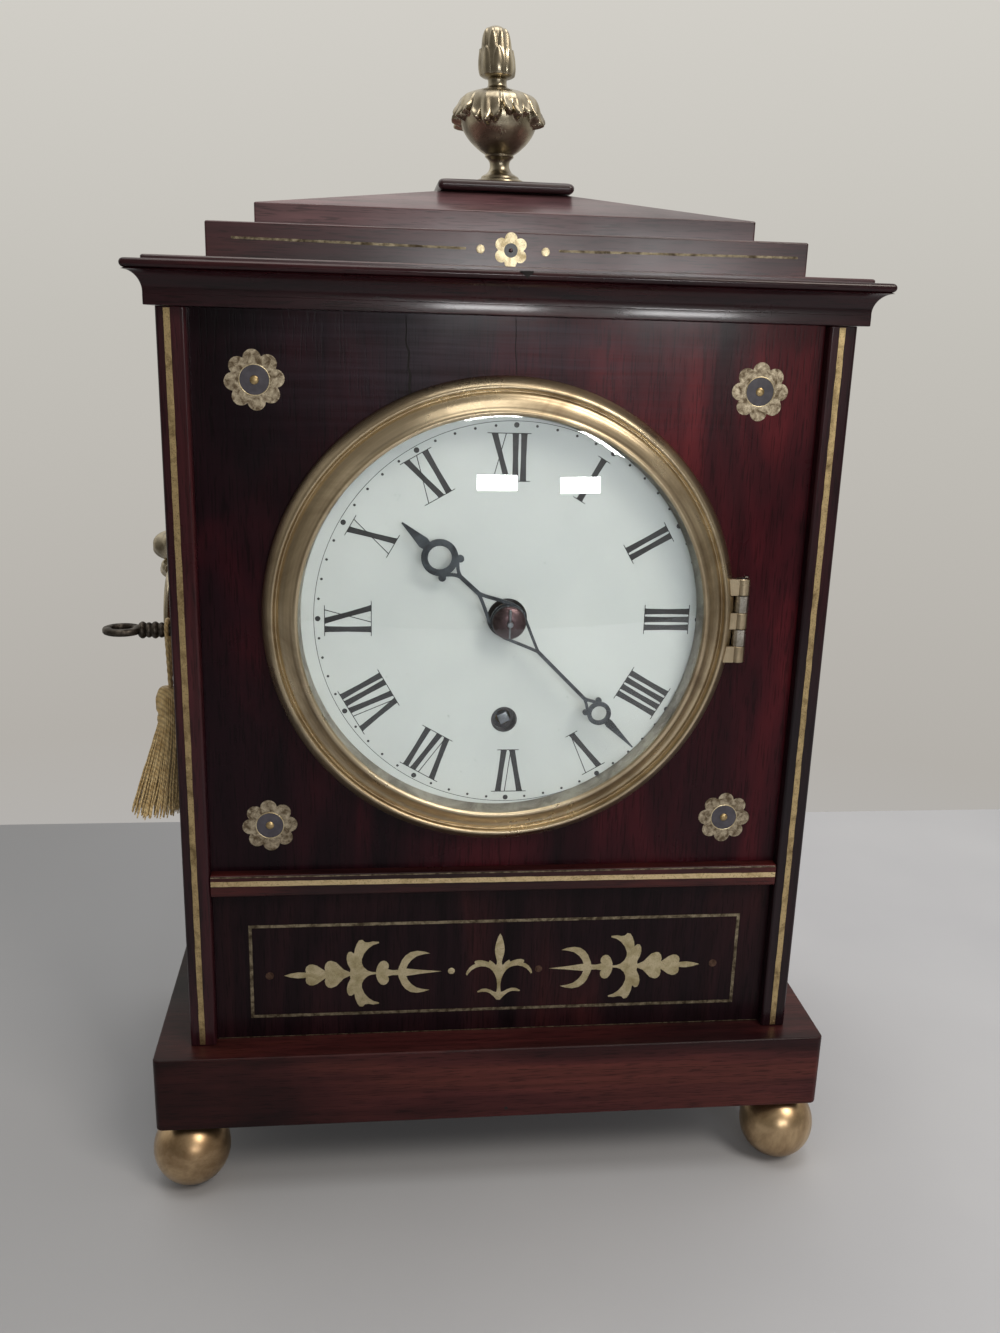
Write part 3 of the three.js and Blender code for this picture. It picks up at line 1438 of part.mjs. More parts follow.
function addBackDoor() {
  const half = doorThickness / 2
  const outline = new THREE.Shape()
  outline.moveTo(doorLeft, doorFace - doorThickness)
  outline.lineTo(doorPivotX, doorFace - doorThickness)
  outline.absarc(doorPivotX, doorPivotY, half, -Math.PI / 2, Math.PI / 2, false)
  outline.lineTo(doorLeft, doorFace)
  outline.closePath()
  const options = { depth: doorTop - doorBottom, bevelEnabled: false, curveSegments: 4 }
  const slab = new THREE.ExtrudeGeometry(outline, options).translate(0, 0, doorBottom)
  const left = doorLeft + doorStile
  const right = doorPivotX + half - doorStile
  const bottom = doorBottom + doorStile
  const top = doorTop - doorStile
  const opening = block(left, right, doorFace - doorThickness - overrun, doorFace + overrun, bottom, top)
  const rebate = block(left - paneLap, right + paneLap, doorFace - doorThickness - overrun,
    doorFace - doorThickness + paneThickness + runGap, bottom - paneLap, top + paneLap)
  const turnHole = rod(turnSpindle + runGap, doorFace - 2 * doorThickness, doorFace + overrun, 10)
  turnHole.rotateX(Math.PI / 2).translate(turnX, 0, turnHeight)
  const pins = [
    post(doorPivotRadius, doorPivotX, doorPivotY,
      plinthTop - doorPivotLength + runGap, doorBottom + overrun),
    post(doorPivotRadius, doorPivotX, doorPivotY,
      doorTop - overrun, corniceBottom + doorPivotLength - runGap),
  ]
  addMesh('back_door', carve([slab, ...pins], [opening, rebate, turnHole]), mahogany)
  const inside = doorFace - doorThickness + seatGap
  const pane = block(left - paneLap + runGap, right + paneLap - runGap, inside, inside + paneThickness,
    bottom - paneLap + runGap, top + paneLap - runGap)
  addMesh('back_door_glass', pane, clear)
}

const turnSpindle = 2

function addDoorTurn() {
  const knob = turned([
    [0, doorFace + 9], [4, doorFace + 8.6], [6, doorFace + 7], [6.3, doorFace + 5], [4.6, doorFace + 3.6],
    [3.2, doorFace + 2.6], [4.6, doorFace + 1.4], [5, doorFace + seatGap], [0, doorFace + seatGap],
  ], 12)
  const spindle = rod(turnSpindle, turnTongueY, doorFace + 2, 10)
  const half = turnTongueWidth / 2
  const tongue = plate(rectangle(-half, half, -half, turnTongueLength),
    turnTongueY, turnTongueY + turnTongueThickness)
  addFacing('back_door_turn', carve([knob, spindle, tongue]), brass, turnX, turnHeight)
}

// Lock, bolt, key and escutcheon

const lockReach = 7
const boltInset = 6.4
const lockMargin = 1
const lockCover = 2
const fingerPast = 1.5
const lockFront = keyDepth - lockReach
const lockWall = 1.5
const boltX0 = -sideInner + boltInset
const boltThickness = 2.5
const boltGuide = lockFront + lockWall + runGap
const boltDown = 16
const boltUp = 9

function addLock() {
  const back = boltPlateBack + runGap + lockWall
  const x0 = -sideInner + seatGap
  const x1 = boltX0 + boltThickness + lockCover
  const low = keyHeight - boltDown - lockMargin
  const high = keyHeight + boltUp + boltTravel + lockMargin
  const base = block(x0, x0 + lockWall, lockFront, back, low, high)
  const frontWall = block(x0, x1, lockFront, lockFront + lockWall, low, high)
  const backWall = block(x0, x1, back - lockWall, back, low, high)
  const keyHole = sideBar(keyShankRadius + runGap, x0 - overrun, x1, keyDepth, keyHeight)
  addMesh('side_lock', carve([base, frontWall, backWall], [keyHole]), brass)

  const boltPlate = block(boltX0, boltX0 + boltThickness, boltGuide, boltPlateBack,
    keyHeight - boltDown, keyHeight + boltUp)
  const finger = block(boltX0, lugX + lugThickness / 2 + fingerPast, fingerFront, fingerFront + fingerDepth,
    keyHeight - fingerHeight / 2, keyHeight + fingerHeight / 2)
  const shankSlot = block(boltX0 - overrun, boltX0 + boltThickness + overrun,
    keyDepth - keyShankRadius - 2 * runGap, keyDepth + keyShankRadius + 2 * runGap,
    keyHeight - keyShankRadius - boltTravel - 2 * runGap, keyHeight + keyShankRadius + 2 * runGap)
  const talon = block(boltX0 - overrun, boltX0 + boltThickness + overrun,
    keyDepth, keyDepth + bitReach + 2 * runGap,
    keyHeight - bitThickness - talonBelow, keyHeight + bitThickness + talonAbove)
  addMesh('lock_bolt', carve([boltPlate, finger], [shankSlot, talon]), steel)
}

const talonBelow = 2
const talonAbove = 1.4
const bitReach = 6.3
const bitThickness = 1.5
const keyPastBolt = 1.2
const bowSink = 1
const bowThickness = 3.2
const collarStandOff = 8
const collarLobes = [1.1, 0.7]

function addKey() {
  const tip = boltX0 + boltThickness + keyPastBolt
  const bowX = -sideFace - keyReach + keyBowRadius
  const collarFrom = bowX + keyBowRadius - bowSink
  const collarTo = -sideFace - collarStandOff
  const pieces = [sideBar(keyShankRadius, collarFrom, tip, keyDepth, keyHeight, 14)]
  const ridges = 4
  const ridgeStep = (collarTo - collarFrom) / ridges
  const points = [new THREE.Vector2(0, 0)]
  for (let i = 0; i < ridges; i++) {
    const tall = keyShankRadius + collarLobes[i % 2]
    points.push(new THREE.Vector2(tall * 0.86, i * ridgeStep))
    points.push(new THREE.Vector2(tall, (i + 0.5) * ridgeStep))
  }
  points.push(new THREE.Vector2(keyShankRadius * 1.05, ridges * ridgeStep))
  points.push(new THREE.Vector2(0, ridges * ridgeStep))
  const collar = new THREE.LatheGeometry(points, 12).rotateZ(-Math.PI / 2)
  pieces.push(collar.translate(collarFrom, keyDepth, keyHeight))
  const bow = new THREE.CylinderGeometry(keyBowRadius, keyBowRadius, bowThickness, 20)
  bow.rotateX(Math.PI / 2).scale(1.02, 0.9, 1).translate(bowX, keyDepth, keyHeight)
  pieces.push(bow)
  pieces.push(block(boltX0 + runGap, boltX0 + boltThickness - runGap, keyDepth, keyDepth + bitReach,
    keyHeight - bitThickness, keyHeight + bitThickness))
  const eye = new THREE.CylinderGeometry(keyBowRadius * 0.52, keyBowRadius * 0.52, 3 * bowThickness, 14)
  eye.rotateX(Math.PI / 2).translate(bowX, keyDepth, keyHeight)
  addMesh('key', carve(pieces, [eye]), iron)

  const scutcheon = sideBar(escutcheonRadius, -sideFace - escutcheonThickness, -sideFace - seatGap,
    keyDepth, keyHeight, 24)
  const shankHole = sideBar(keyShankRadius + runGap, -sideFace - 2 * overrun, -sideFace + overrun,
    keyDepth, keyHeight)
  addMesh('key_escutcheon', carve([scutcheon], [shankHole]), brass)
}

const escutcheonRadius = 8.5
const escutcheonThickness = 1.4

// Tassel on its cord

const cordStandOff = 6.7
const tasselHang = 1.4
const tasselLean = 7.8
const cordX = -sideFace - cordStandOff
const cordRoute = [
  [1.35, 249], [1.9, 254], [2.6, 259], [3.3, 264], [3.95, 269], [4.3, 273], [4.25, 276.5], [3.1, 278.9],
  [1.3, 279.8], [-1.3, 279.8], [-3.1, 278.9], [-4.25, 276.5], [-4.3, 273], [-3.95, 269], [-3.3, 264],
  [-2.6, 259], [-1.9, 254], [-1.35, 249],
]

function addTassel() {
  const route = cordRoute.map(([across, z]) => new THREE.Vector3(cordX, keyDepth + across, z))
  const path = new THREE.CatmullRomCurve3(route)
  const section = disc(cordDiameter / 2)
  const options = { steps: 24, extrudePath: path, curveSegments: 3, bevelEnabled: false }
  addMesh('tassel_cord', new THREE.ExtrudeGeometry(section, options), silk)

  const height = tasselTop - tasselBottom
  const ringSteps = 14
  const rings = [
    [0, 3.2, 0], [0.03, 4.6, 0], [0.1, 5.6, 0], [0.17, 5.7, 0], [0.2, 5.1, 0], [0.27, 5.1, 0],
    [0.3, 5.9, 0.03], [0.45, 7.2, 0.3], [0.7, 9.9, 0.7], [0.9, 12.1, 1], [1, 11.6, 1],
  ]
  const positions = []
  for (const [share, radius, lean] of rings) {
    for (let k = 0; k < ringSteps; k++) {
      const angle = k / ringSteps * 2 * Math.PI
      const flute = share > 0.28 && k % 2 ? 0.94 : 1
      positions.push(-lean * tasselLean + radius * flute * Math.cos(angle),
        radius * flute * Math.sin(angle), -share * height)
    }
  }
  const index = []
  for (let r = 0; r + 1 < rings.length; r++) {
    for (let k = 0; k < ringSteps; k++) {
      const a = r * ringSteps + k
      const b = r * ringSteps + (k + 1) % ringSteps
      index.push(a, b + ringSteps, b, a, a + ringSteps, b + ringSteps)
    }
  }
  const last = (rings.length - 1) * ringSteps
  for (let k = 1; k + 1 < ringSteps; k++) {
    index.push(0, k, k + 1)
    index.push(last, last + k + 1, last + k)
  }
  const geometry = new THREE.BufferGeometry()
  geometry.setAttribute('position', new THREE.Float32BufferAttribute(positions, 3))
  geometry.setIndex(index)
  addMesh('tassel', geometry, silk, [cordX - tasselHang, keyDepth, tasselTop])
}

// Ring handles on mask shaped mounts. Drawn for the right side and turned round for the left.

function addHandles() {
  const lobe = (radiusX, radiusY, radiusZ, x, z) =>
    new THREE.SphereGeometry(1, 12, 7).scale(radiusX, radiusY, radiusZ).translate(x, 0, z)
  const pivotZ = -ringPivotDrop
  const mount = carve([
    sideBar(handlePlateRadius, seatGap, 2.6, 0, 0, 20),
    sideBar(handlePlateRadius * 0.62, 2, 10, 0, 1.5, 12),
    lobe(11.2, 9, 7.8, 11.7, 4.4),
    lobe(9.4, 5.4, 5.3, 13, pivotZ),
  ], [
    new THREE.CylinderGeometry(ringSection + 0.9, ringSection + 0.9, handlePlateRadius * 2, 16)
      .translate(ringPivotReach, 0, pivotZ),
  ])
  const ringSteps = 26
  const sides = 7
  const positions = []
  const index = []
  for (let i = 0; i < ringSteps; i++) {
    const angle = i / ringSteps * 2 * Math.PI
    for (let k = 0; k < sides; k++) {
      const turn = k / sides * 2 * Math.PI
      const radius = ringRadius + ringSection * Math.cos(turn)
      positions.push(ringPivotReach + ringSection * Math.sin(turn), radius * Math.cos(angle),
        pivotZ - ringRadius + radius * Math.sin(angle))
      const a = i * sides + k
      const b = i * sides + (k + 1) % sides
      const c = (i + 1) % ringSteps * sides + k
      const d = (i + 1) % ringSteps * sides + (k + 1) % sides
      index.push(a, c, b, b, c, d)
    }
  }
  const ring = new THREE.BufferGeometry()
  ring.setAttribute('position', new THREE.Float32BufferAttribute(positions, 3))
  ring.setIndex(index)
  for (const [name, side] of [['left', -1], ['right', 1]]) {
    const turn = [0, 0, side < 0 ? Math.PI : 0]
    const place = [side * sideFace, midDepth, handleHeight]
    addMesh(`handle_mount_${name}`, mount.clone(), antiqueBrass, place, turn)
    addMesh(`handle_ring_${name}`, ring.clone(), antiqueBrass, place, turn)
  }
}

addFeet()
addPlinth()
addPosts()
addFrontPanels()
addRail()
addSides()
addFrets()
addCornice()
addRoof()
addFinial()
addBezel()
addBezelGlass()
addHinge()
addDial()
addHands()
addTrain()
addMotionWork()
addFusee()
addLineSpan()
addBarrel()
addPlates()
addCock()
addAnchor()
addPendulum()
addBackDoor()
addDoorTurn()
addLock()
addKey()
addTassel()
addHandles()

// The whole clock, with its origin under the middle of its footprint

const keyTip = -sideFace - keyReach
const mountReach = 22.8
const handleTip = sideFace + mountReach
clock.position.set(-(keyTip + handleTip) / 2, -midDepth, 0)

const fuseeClock = new THREE.Group()
fuseeClock.add(clock)

export default fuseeClock
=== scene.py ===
# Looks of a bracket timepiece: inlaid mahogany case, brass bezel, painted dial, vase finial.
# Shapes are written in millimetres in the clock's own coordinates: x is 0 on the middle of the case,
# y is 0 on the front of the posts and grows towards the back, z is 0 on the shelf. at() turns such a
# point into the row frame, in metres.

import json
from math import copysign, cos, exp, floor, hypot, pi, radians, sin, sqrt

import bmesh
import bpy
from mathutils import Matrix, Vector, noise
from mathutils.geometry import tessellate_polygon


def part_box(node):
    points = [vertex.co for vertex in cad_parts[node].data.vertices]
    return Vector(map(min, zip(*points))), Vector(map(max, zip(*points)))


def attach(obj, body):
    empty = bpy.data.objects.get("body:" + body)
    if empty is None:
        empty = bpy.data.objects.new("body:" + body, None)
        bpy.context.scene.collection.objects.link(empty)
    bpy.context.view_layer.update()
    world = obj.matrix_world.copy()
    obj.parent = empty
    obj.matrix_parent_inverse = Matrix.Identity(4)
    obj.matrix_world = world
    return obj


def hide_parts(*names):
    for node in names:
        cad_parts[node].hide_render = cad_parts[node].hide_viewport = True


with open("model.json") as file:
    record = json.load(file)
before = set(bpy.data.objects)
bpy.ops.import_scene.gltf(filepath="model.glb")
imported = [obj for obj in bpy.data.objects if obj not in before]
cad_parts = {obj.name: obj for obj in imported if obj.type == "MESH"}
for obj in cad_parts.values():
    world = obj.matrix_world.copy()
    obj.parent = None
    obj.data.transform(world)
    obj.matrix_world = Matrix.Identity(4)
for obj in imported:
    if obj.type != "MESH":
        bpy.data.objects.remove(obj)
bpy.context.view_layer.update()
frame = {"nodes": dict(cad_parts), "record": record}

MM = 0.001
CASE_MIDDLE_Y = 85
plinth_low, plinth_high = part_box("plinth")
ORIGIN_X = (plinth_low.x + plinth_high.x) / 2
ORIGIN_Y = (plinth_low.y + plinth_high.y) / 2 - CASE_MIDDLE_Y * MM

DIAL_Z = 285.25
WINDING_Z = DIAL_Z - 47.7
BEZEL_X = -2.4
PANEL_Y = 5.5
ROOF_Y = 18.5
INLAY_PROUD = 0.06
INLAY_DEEP = 0.4


def at(x, y, z):
    return Vector((x * MM + ORIGIN_X, y * MM + ORIGIN_Y, z * MM))


# Camera

CAMERA_PLACE = (-60.52, -507.36, 409.58)
CAMERA_YAW = radians(6.46)
CAMERA_PITCH = radians(15.90)
CAMERA_ROLL = radians(1.67)
CAMERA_LENS = 32.02
CAMERA_SENSOR = 36
CAMERA_REACH = (0.01, 50)


def make_camera():
    data = bpy.data.cameras.new("camera")
    data.lens = CAMERA_LENS
    data.sensor_width = CAMERA_SENSOR
    data.sensor_fit = "AUTO"
    data.clip_start, data.clip_end = CAMERA_REACH
    camera = bpy.data.objects.new("camera", data)
    bpy.context.scene.collection.objects.link(camera)
    yaw, pitch, roll = (Matrix.Rotation(angle, 4, axis) for angle, axis in (
        (-CAMERA_YAW, "Z"), (pi / 2 - CAMERA_PITCH, "X"), (CAMERA_ROLL, "Z")))
    camera.matrix_world = Matrix.Translation(at(*CAMERA_PLACE)) @ yaw @ pitch @ roll
    bpy.context.scene.camera = camera


make_camera()
scene = bpy.context.scene
scene.view_settings.view_transform = "Standard"


# Node helpers

def linear(code):
    """Linear colour of a hex code."""
    values = [int(code[i:i + 2], 16) / 255 for i in (1, 3, 5)]
    return [v / 12.92 if v <= 0.04045 else ((v + 0.055) / 1.055) ** 2.4 for v in values] + [1]


def feed(tree, made, inputs):
    """Link sockets to the inputs of a node, or set them to plain values or hex colours."""
    for key, value in dict(inputs).items():
        socket = made.inputs[key]
        if isinstance(value, bpy.types.NodeSocket):
            tree.links.new(value, socket)
        else:
            socket.default_value = linear(value) if isinstance(value, str) else value
    return made


def node(tree, kind, inputs=(), **settings):
    made = tree.nodes.new("ShaderNode" + kind)
    for key, value in settings.items():
        setattr(made, key, value)
    return feed(tree, made, inputs)


def position(tree, axis=None):
    """The point in the object's own coordinates, or one coordinate of it."""
    place = node(tree, "TexCoord").outputs["Object"]
    return node(tree, "SeparateXYZ", {0: place}).outputs[axis] if axis else place


def stretched(tree, scale=(1, 1, 1), shift=(0, 0, 0)):
    inputs = {"Vector": position(tree), "Scale": scale, "Location": shift}
    return node(tree, "Mapping", inputs).outputs["Vector"]


def speckle(tree, scale, detail, roughness, distortion=0, stretch=(1, 1, 1), shift=(0, 0, 0)):
    return node(tree, "TexNoise", {
        "Vector": stretched(tree, stretch, shift), "Scale": scale, "Detail": detail, "Roughness": roughness,
        "Distortion": distortion,
    }).outputs["Fac"]


def ramp(tree, factor, *stops):
    """A colour ramp through stops of (place, hex colour or grey value)."""
    made = node(tree, "ValToRGB", {"Fac": factor})
    band = made.color_ramp
    while len(band.elements) < len(stops):
        band.elements.new(0.5)
    for element, (place, colour) in zip(band.elements, stops):
        element.position = place
        element.color = linear(colour) if isinstance(colour, str) else [colour] * 3 + [1]
    return made.outputs["Color"]


def blend_colours(tree, factor, first, second, mode="MIX"):
    inputs = {0: factor, 6: first, 7: second}
    return node(tree, "Mix", inputs, data_type="RGBA", blend_type=mode).outputs[2]


def between(tree, factor, low, high, start=0.3, end=0.7):
    """A value that goes from low to high while factor goes from start to end."""
    return node(tree, "MapRange", {
        "Value": factor, "From Min": start, "From Max": end, "To Min": low, "To Max": high,
    }).outputs["Result"]


def computed(tree, operation, *values):
    return node(tree, "Math", dict(enumerate(values)), operation=operation).outputs[0]


def bump(tree, height, strength, distance, under=None):
    inputs = {"Height": height, "Strength": strength, "Distance": distance}
    if under is not None:
        inputs["Normal"] = under
    return node(tree, "Bump", inputs).outputs["Normal"]


# Looks. Each is kept in looks under its own name. SLOTS pairs a look with a slot, and a look not in
# it goes with the slot that has its own name; link works that slot out but does not use it.

looks = {}
SLOTS = {look: slot for slot, group in {
    "mahogany": ("mahogany_x", "mahogany_z", "plinth_wood", "roof_sheen_wood", "roof_top_reflection_wood", "cornice_wood"),
    "dark_mahogany": ("dark_panel", "dark_lower", "dark_post"),
    "polished_brass": ("bezel_brass", "foot_brass", "fret_brass", "inlay_bright", "rail_brass", "inlay_dull",
                       "rosette_brass", "motif_brass", "roof_inlay", "copper_dot"),
    "glass": ("clear_glass",),
    None: ("sight_metal", "dial_black", "disc_grey", "ebony_and_hole_shade", "crack_dark"),
}.items() for look in group}


def shader(name):
    material = looks[name] = bpy.data.materials.new(name)
    material.use_nodes = True
    tree = material.node_tree
    return tree, tree.nodes["Principled BSDF"]


# How much the patterns of wood shrink along the grain and across it
FIGURE = (5, 26)
GRAIN = (7, 320)
PORES = (90, 1500)
TONE_PLACES = (0.32, 0.45, 0.57, 0.7)


def wood(name, tones, grain, seed, rough=(0.22, 0.4), coat=0.2, coat_rough=0.12, gloss=0.25, drift=None,
         fibre=(0.6, 1.15), shaded_end=False):
    """Polished mahogany: broad figure, fine fibres, short dark pores and a worn shellac coat.

    drift holds redder tones that take over towards the right and give way to a painted shade near the
    bottom, under a painted grey sheen in streaks over the top middle, below a ledge. shaded_end darkens
    the left end.
    """
    tree, surface = shader(name)
    shift = (seed, seed * 1.7, seed * 2.3)

    def pattern(shrink, detail, roughness, distortion=0):
        stretch = tuple(shrink[0] if axis == grain else shrink[1] for axis in "xyz")
        return speckle(tree, 1, detail, roughness, distortion, stretch, shift)

    figure = pattern(FIGURE, 3, 0.5, 1.1)
    fibres = pattern(GRAIN, 6, 0.62, 0.3)
    pores = pattern(PORES, 2, 0.5)
    smears = speckle(tree, 22, 5, 0.6, 0.6, shift=shift)
    colour = ramp(tree, figure, *zip(TONE_PLACES, tones))
    if drift:
        clouds = speckle(tree, 9, 4, 0.55, 1.4, (1, 1, 0.6), shift)
        share = computed(tree, "ADD", between(tree, position(tree, "X"), -0.12, 0.42, -0.12, 0.13), clouds)
        # The redder tones give way towards the bottom of the panel: a painted shade.
        above_painted_shade = between(tree, position(tree, "Z"), 0.25, 1, 0.17, 0.31)
        warm = computed(tree, "MULTIPLY", between(tree, share, 0, 1, 0.46, 0.86), above_painted_shade)
        colour = blend_colours(tree, warm, colour, ramp(tree, figure, *zip(TONE_PLACES, drift)))
    shades = ramp(tree, fibres, (0.3, fibre[0]), (0.7, fibre[1]))
    colour = blend_colours(tree, 1, colour, shades, "MULTIPLY")
    pits = ramp(tree, pores, (0.36, 0.35), (0.46, 1))
    colour = blend_colours(tree, 0.7, colour, pits, "MULTIPLY")
    if shaded_end:
        along = between(tree, position(tree, "X"), 0.3, 1, -0.19, 0)
        shade = node(tree, "CombineColor", dict.fromkeys(("Red", "Green", "Blue"), along)).outputs["Color"]
        colour = blend_colours(tree, 1, colour, shade, "MULTIPLY")
    if drift:
        # A painted sheen: grey streaks over the top middle of the panel, below the ledge.
        high = between(tree, position(tree, "Z"), 0, 1, 0.35, 0.415)
        middle = computed(tree, "ABSOLUTE", position(tree, "X"))
        inner = between(tree, middle, 1, 0, 0.03, 0.12)
        painted_sheen_streaks = between(tree, speckle(tree, 1, 4, 0.6, 0, (14, 1, 420), shift), 0.1, 0.62, 0.35, 0.7)
        amount = computed(tree, "MULTIPLY", computed(tree, "MULTIPLY", high, inner), painted_sheen_streaks)
        colour = blend_colours(tree, amount, colour, "#4d4552")
    relief = bump(tree, fibres, 0.08, 0.0002, bump(tree, pits, 0.12, 0.00015))
    feed(tree, surface, {
        "Base Color": colour, "Roughness": between(tree, smears, *rough), "Specular IOR Level": gloss,
        "Coat Weight": coat, "Coat Roughness": coat_rough, "Normal": relief,
    })


def metal(name, bright, dull, rough, scale, worn=(0.42, 0.62), dents=0.06, seed=0, fleck=None):
    """Brass or another metal, with cloudy toning, wipe marks and small dents."""
    tree, surface = shader(name)
    shift = (seed, seed * 1.3, seed * 2.1)
    clouds = speckle(tree, scale, 6, 0.62, 0.5, shift=shift)
    grit = speckle(tree, scale * 14, 3, 0.6, shift=shift)
    colour = ramp(tree, clouds, (worn[0], bright), (worn[1], dull))
    if fleck:
        colour = blend_colours(tree, ramp(tree, grit, (0.56, 0), (0.7, 1)), colour, fleck)
    relief = bump(tree, clouds, dents * 1.5, 0.001, bump(tree, grit, dents, 0.0003))
    feed(tree, surface, {
        "Base Color": colour, "Metallic": 1, "Roughness": between(tree, clouds, *rough), "Normal": relief,
    })


def turned_metal(name, bright, dull, rough, rings, centre):
    """Lathe turned brass: fine rings about an axis that runs front to back through centre."""
    tree, surface = shader(name)
    offset = stretched(tree, (1, 0, 1), (-centre.x, 0, -centre.z))
    radius = node(tree, "VectorMath", {0: offset}, operation="LENGTH").outputs["Value"]
    lines = node(tree, "TexNoise", {"W": radius, "Scale": rings, "Detail": 5, "Roughness": 0.7},
                 noise_dimensions="1D").outputs["Fac"]
    clouds = speckle(tree, 26, 6, 0.6, 0.8)
    patches = ramp(tree, clouds, (0.4, bright), (0.66, dull))
    colour = blend_colours(tree, 0.5, patches, ramp(tree, lines, (0.3, 0.72), (0.65, 1)), "MULTIPLY")
    feed(tree, surface, {
        "Base Color": colour, "Metallic": 1, "Roughness": between(tree, clouds, *rough),
        "Normal": bump(tree, lines, 0.08, 0.0003),
    })


def enamel(name):
    """The dial's pale paint, faintly greenish, with a soft gloss and a few age marks."""
    tree, surface = shader(name)
    clouds = speckle(tree, 14, 5, 0.55, 0.4, shift=(3, 0, 1))
    marks = speckle(tree, 320, 3, 0.55, shift=(7, 0, 2))
    colour = ramp(tree, clouds, (0.35, "#c2cac9"), (0.65, "#bac2c2"))
    colour = blend_colours(tree, ramp(tree, marks, (0.7, 0), (0.8, 0.5)), colour, "#8d9a94")
    feed(tree, surface, {
        "Base Color": colour, "Roughness": between(tree, clouds, 0.32, 0.42), "Coat Weight": 0.15,
        "Coat Roughness": 0.2, "Normal": bump(tree, clouds, 0.05, 0.001),
    })


def paint(name, colour, other, rough, scale=300, coat=0):
    """A dark mark or coating with slight unevenness."""
    tree, surface = shader(name)
    clouds = speckle(tree, scale, 4, 0.6)
    feed(tree, surface, {
        "Base Color": ramp(tree, clouds, (0.35, colour), (0.7, other)), "Roughness": rough,
        "Coat Weight": coat, "Normal": bump(tree, clouds, 0.05, 0.0002),
    })


def glass(name, tint):
    """Clear glass that lets light through to what is behind it."""
    tree, surface = shader(name)
    feed(tree, surface, {
        "Base Color": tint, "Roughness": 0, "IOR": 1.45, "Transmission Weight": 1,
        "Normal": bump(tree, speckle(tree, 18, 3, 0.5), 0.008, 0.001),
    })
    clear = node(tree, "BsdfTransparent").outputs[0]
    shadow = node(tree, "LightPath").outputs["Is Shadow Ray"]
    mixed = node(tree, "MixShader", {0: shadow, 1: surface.outputs[0], 2: clear}).outputs[0]
    feed(tree, tree.nodes["Material Output"], {"Surface": mixed})


def thread(name, light, dark, twist=1400, rough=0.6):
    """Silk or gut: fine twisted fibres with a soft sheen."""
    tree, surface = shader(name)
    ply = node(tree, "TexWave", {
        "Vector": stretched(tree), "Scale": twist / 6.3, "Distortion": 1.5, "Detail": 2,
    }, wave_type="BANDS", bands_direction="DIAGONAL").outputs["Fac"]
    clouds = ramp(tree, speckle(tree, 240, 4, 0.6), (0.35, light), (0.7, dark))
    colour = blend_colours(tree, 0.6, clouds, ramp(tree, ply, (0.1, 0.55), (0.7, 1.1)), "MULTIPLY")
    feed(tree, surface, {
        "Base Color": colour, "Roughness": rough, "Sheen Weight": 0.3, "Sheen Roughness": 0.4,
        "Normal": bump(tree, ply, 0.4, 0.0003),
    })


wood("mahogany_x", ("#240f11", "#391515", "#4e1d1b", "#602520"), "x", 1, gloss=0.18)
wood("mahogany_z", ("#260f10", "#3c1514", "#531e1a", "#68281f"), "z", 4, gloss=0.35)
wood("plinth_wood", ("#250f12", "#361617", "#472020", "#562a25"), "x", 7, (0.34, 0.5), coat=0.06,
     coat_rough=0.2, gloss=0.15, shaded_end=True)
wood("dark_panel", ("#13070d", "#1c0a11", "#280d15", "#351119"), "z", 11, (0.24, 0.38), coat=0.06,
     coat_rough=0.14, gloss=0.1, drift=("#2b0d13", "#3f1119", "#55181f", "#6a2127"), fibre=(0.82, 1.08))
wood("dark_lower", ("#12080c", "#1b0d12", "#261216", "#361719"), "z", 17, (0.3, 0.46), coat=0.05,
     coat_rough=0.16, gloss=0.1)
wood("dark_post", ("#160a10", "#220e14", "#2f1319", "#3f191e"), "z", 23, (0.24, 0.38), coat=0.14, gloss=0.2)
# The lower roof board and the pad have greyish purple tones: a painted sheen over their grain.
wood("roof_sheen_wood", ("#2a161b", "#3a1c22", "#4a2529", "#5a2e2f"), "x", 29, (0.3, 0.44), coat=0.5,
     coat_rough=0.22, gloss=0.4)
# The upper roof board is a paler copy of the roof wood: a painted reflection.
wood("roof_top_reflection_wood", ("#493136", "#5a3d42", "#6b4a4e", "#7b5759"), "x", 31, (0.3, 0.44), coat=0.5,
     coat_rough=0.2, gloss=0.4)
wood("cornice_wood", ("#180a0f", "#260e14", "#371519", "#481d1e"), "x", 37, (0.22, 0.36), coat=0.25,
     coat_rough=0.1, gloss=0.2)
wood("pine", ("#a27c4e", "#b38a58", "#bf9763", "#c9a26d"), "x", 41, (0.6, 0.75), coat=0)
turned_metal("bezel_brass", "#d2c1a2", "#9f8e74", (0.24, 0.4), 900, at(BEZEL_X, 0, DIAL_Z))
metal("foot_brass", "#cfb48e", "#9d8262", (0.26, 0.38), 40, dents=0.02, seed=2)
metal("antique_brass", "#bfb49c", "#7b7262", (0.2, 0.36), 70, (0.4, 0.68), 0.012, 5)
metal("fret_brass", "#b8934f", "#8a6a36", (0.26, 0.42), 70, seed=8)
metal("hinge_brass", "#cdc8bd", "#8f897c", (0.22, 0.4), 120, seed=11)
metal("movement_brass", "#c99f52", "#a17b3a", (0.2, 0.34), 50, seed=14)
metal("inlay_bright", "#c4ac7e", "#7f6c4c", (0.3, 0.5), 160, (0.45, 0.7), 0.06, 17, "#5b4a34")
metal("rail_brass", "#dcc598", "#a58d63", (0.3, 0.46), 160, (0.5, 0.75), 0.04, 19, "#6b5a40")
metal("inlay_dull", "#9a8e76", "#4f4537", (0.4, 0.6), 300, (0.38, 0.62), 0.1, 21, "#2c2119")
metal("rosette_brass", "#c4b79e", "#6b5d4a", (0.4, 0.58), 380, (0.38, 0.62), 0.12, 25, "#4a3d2f")
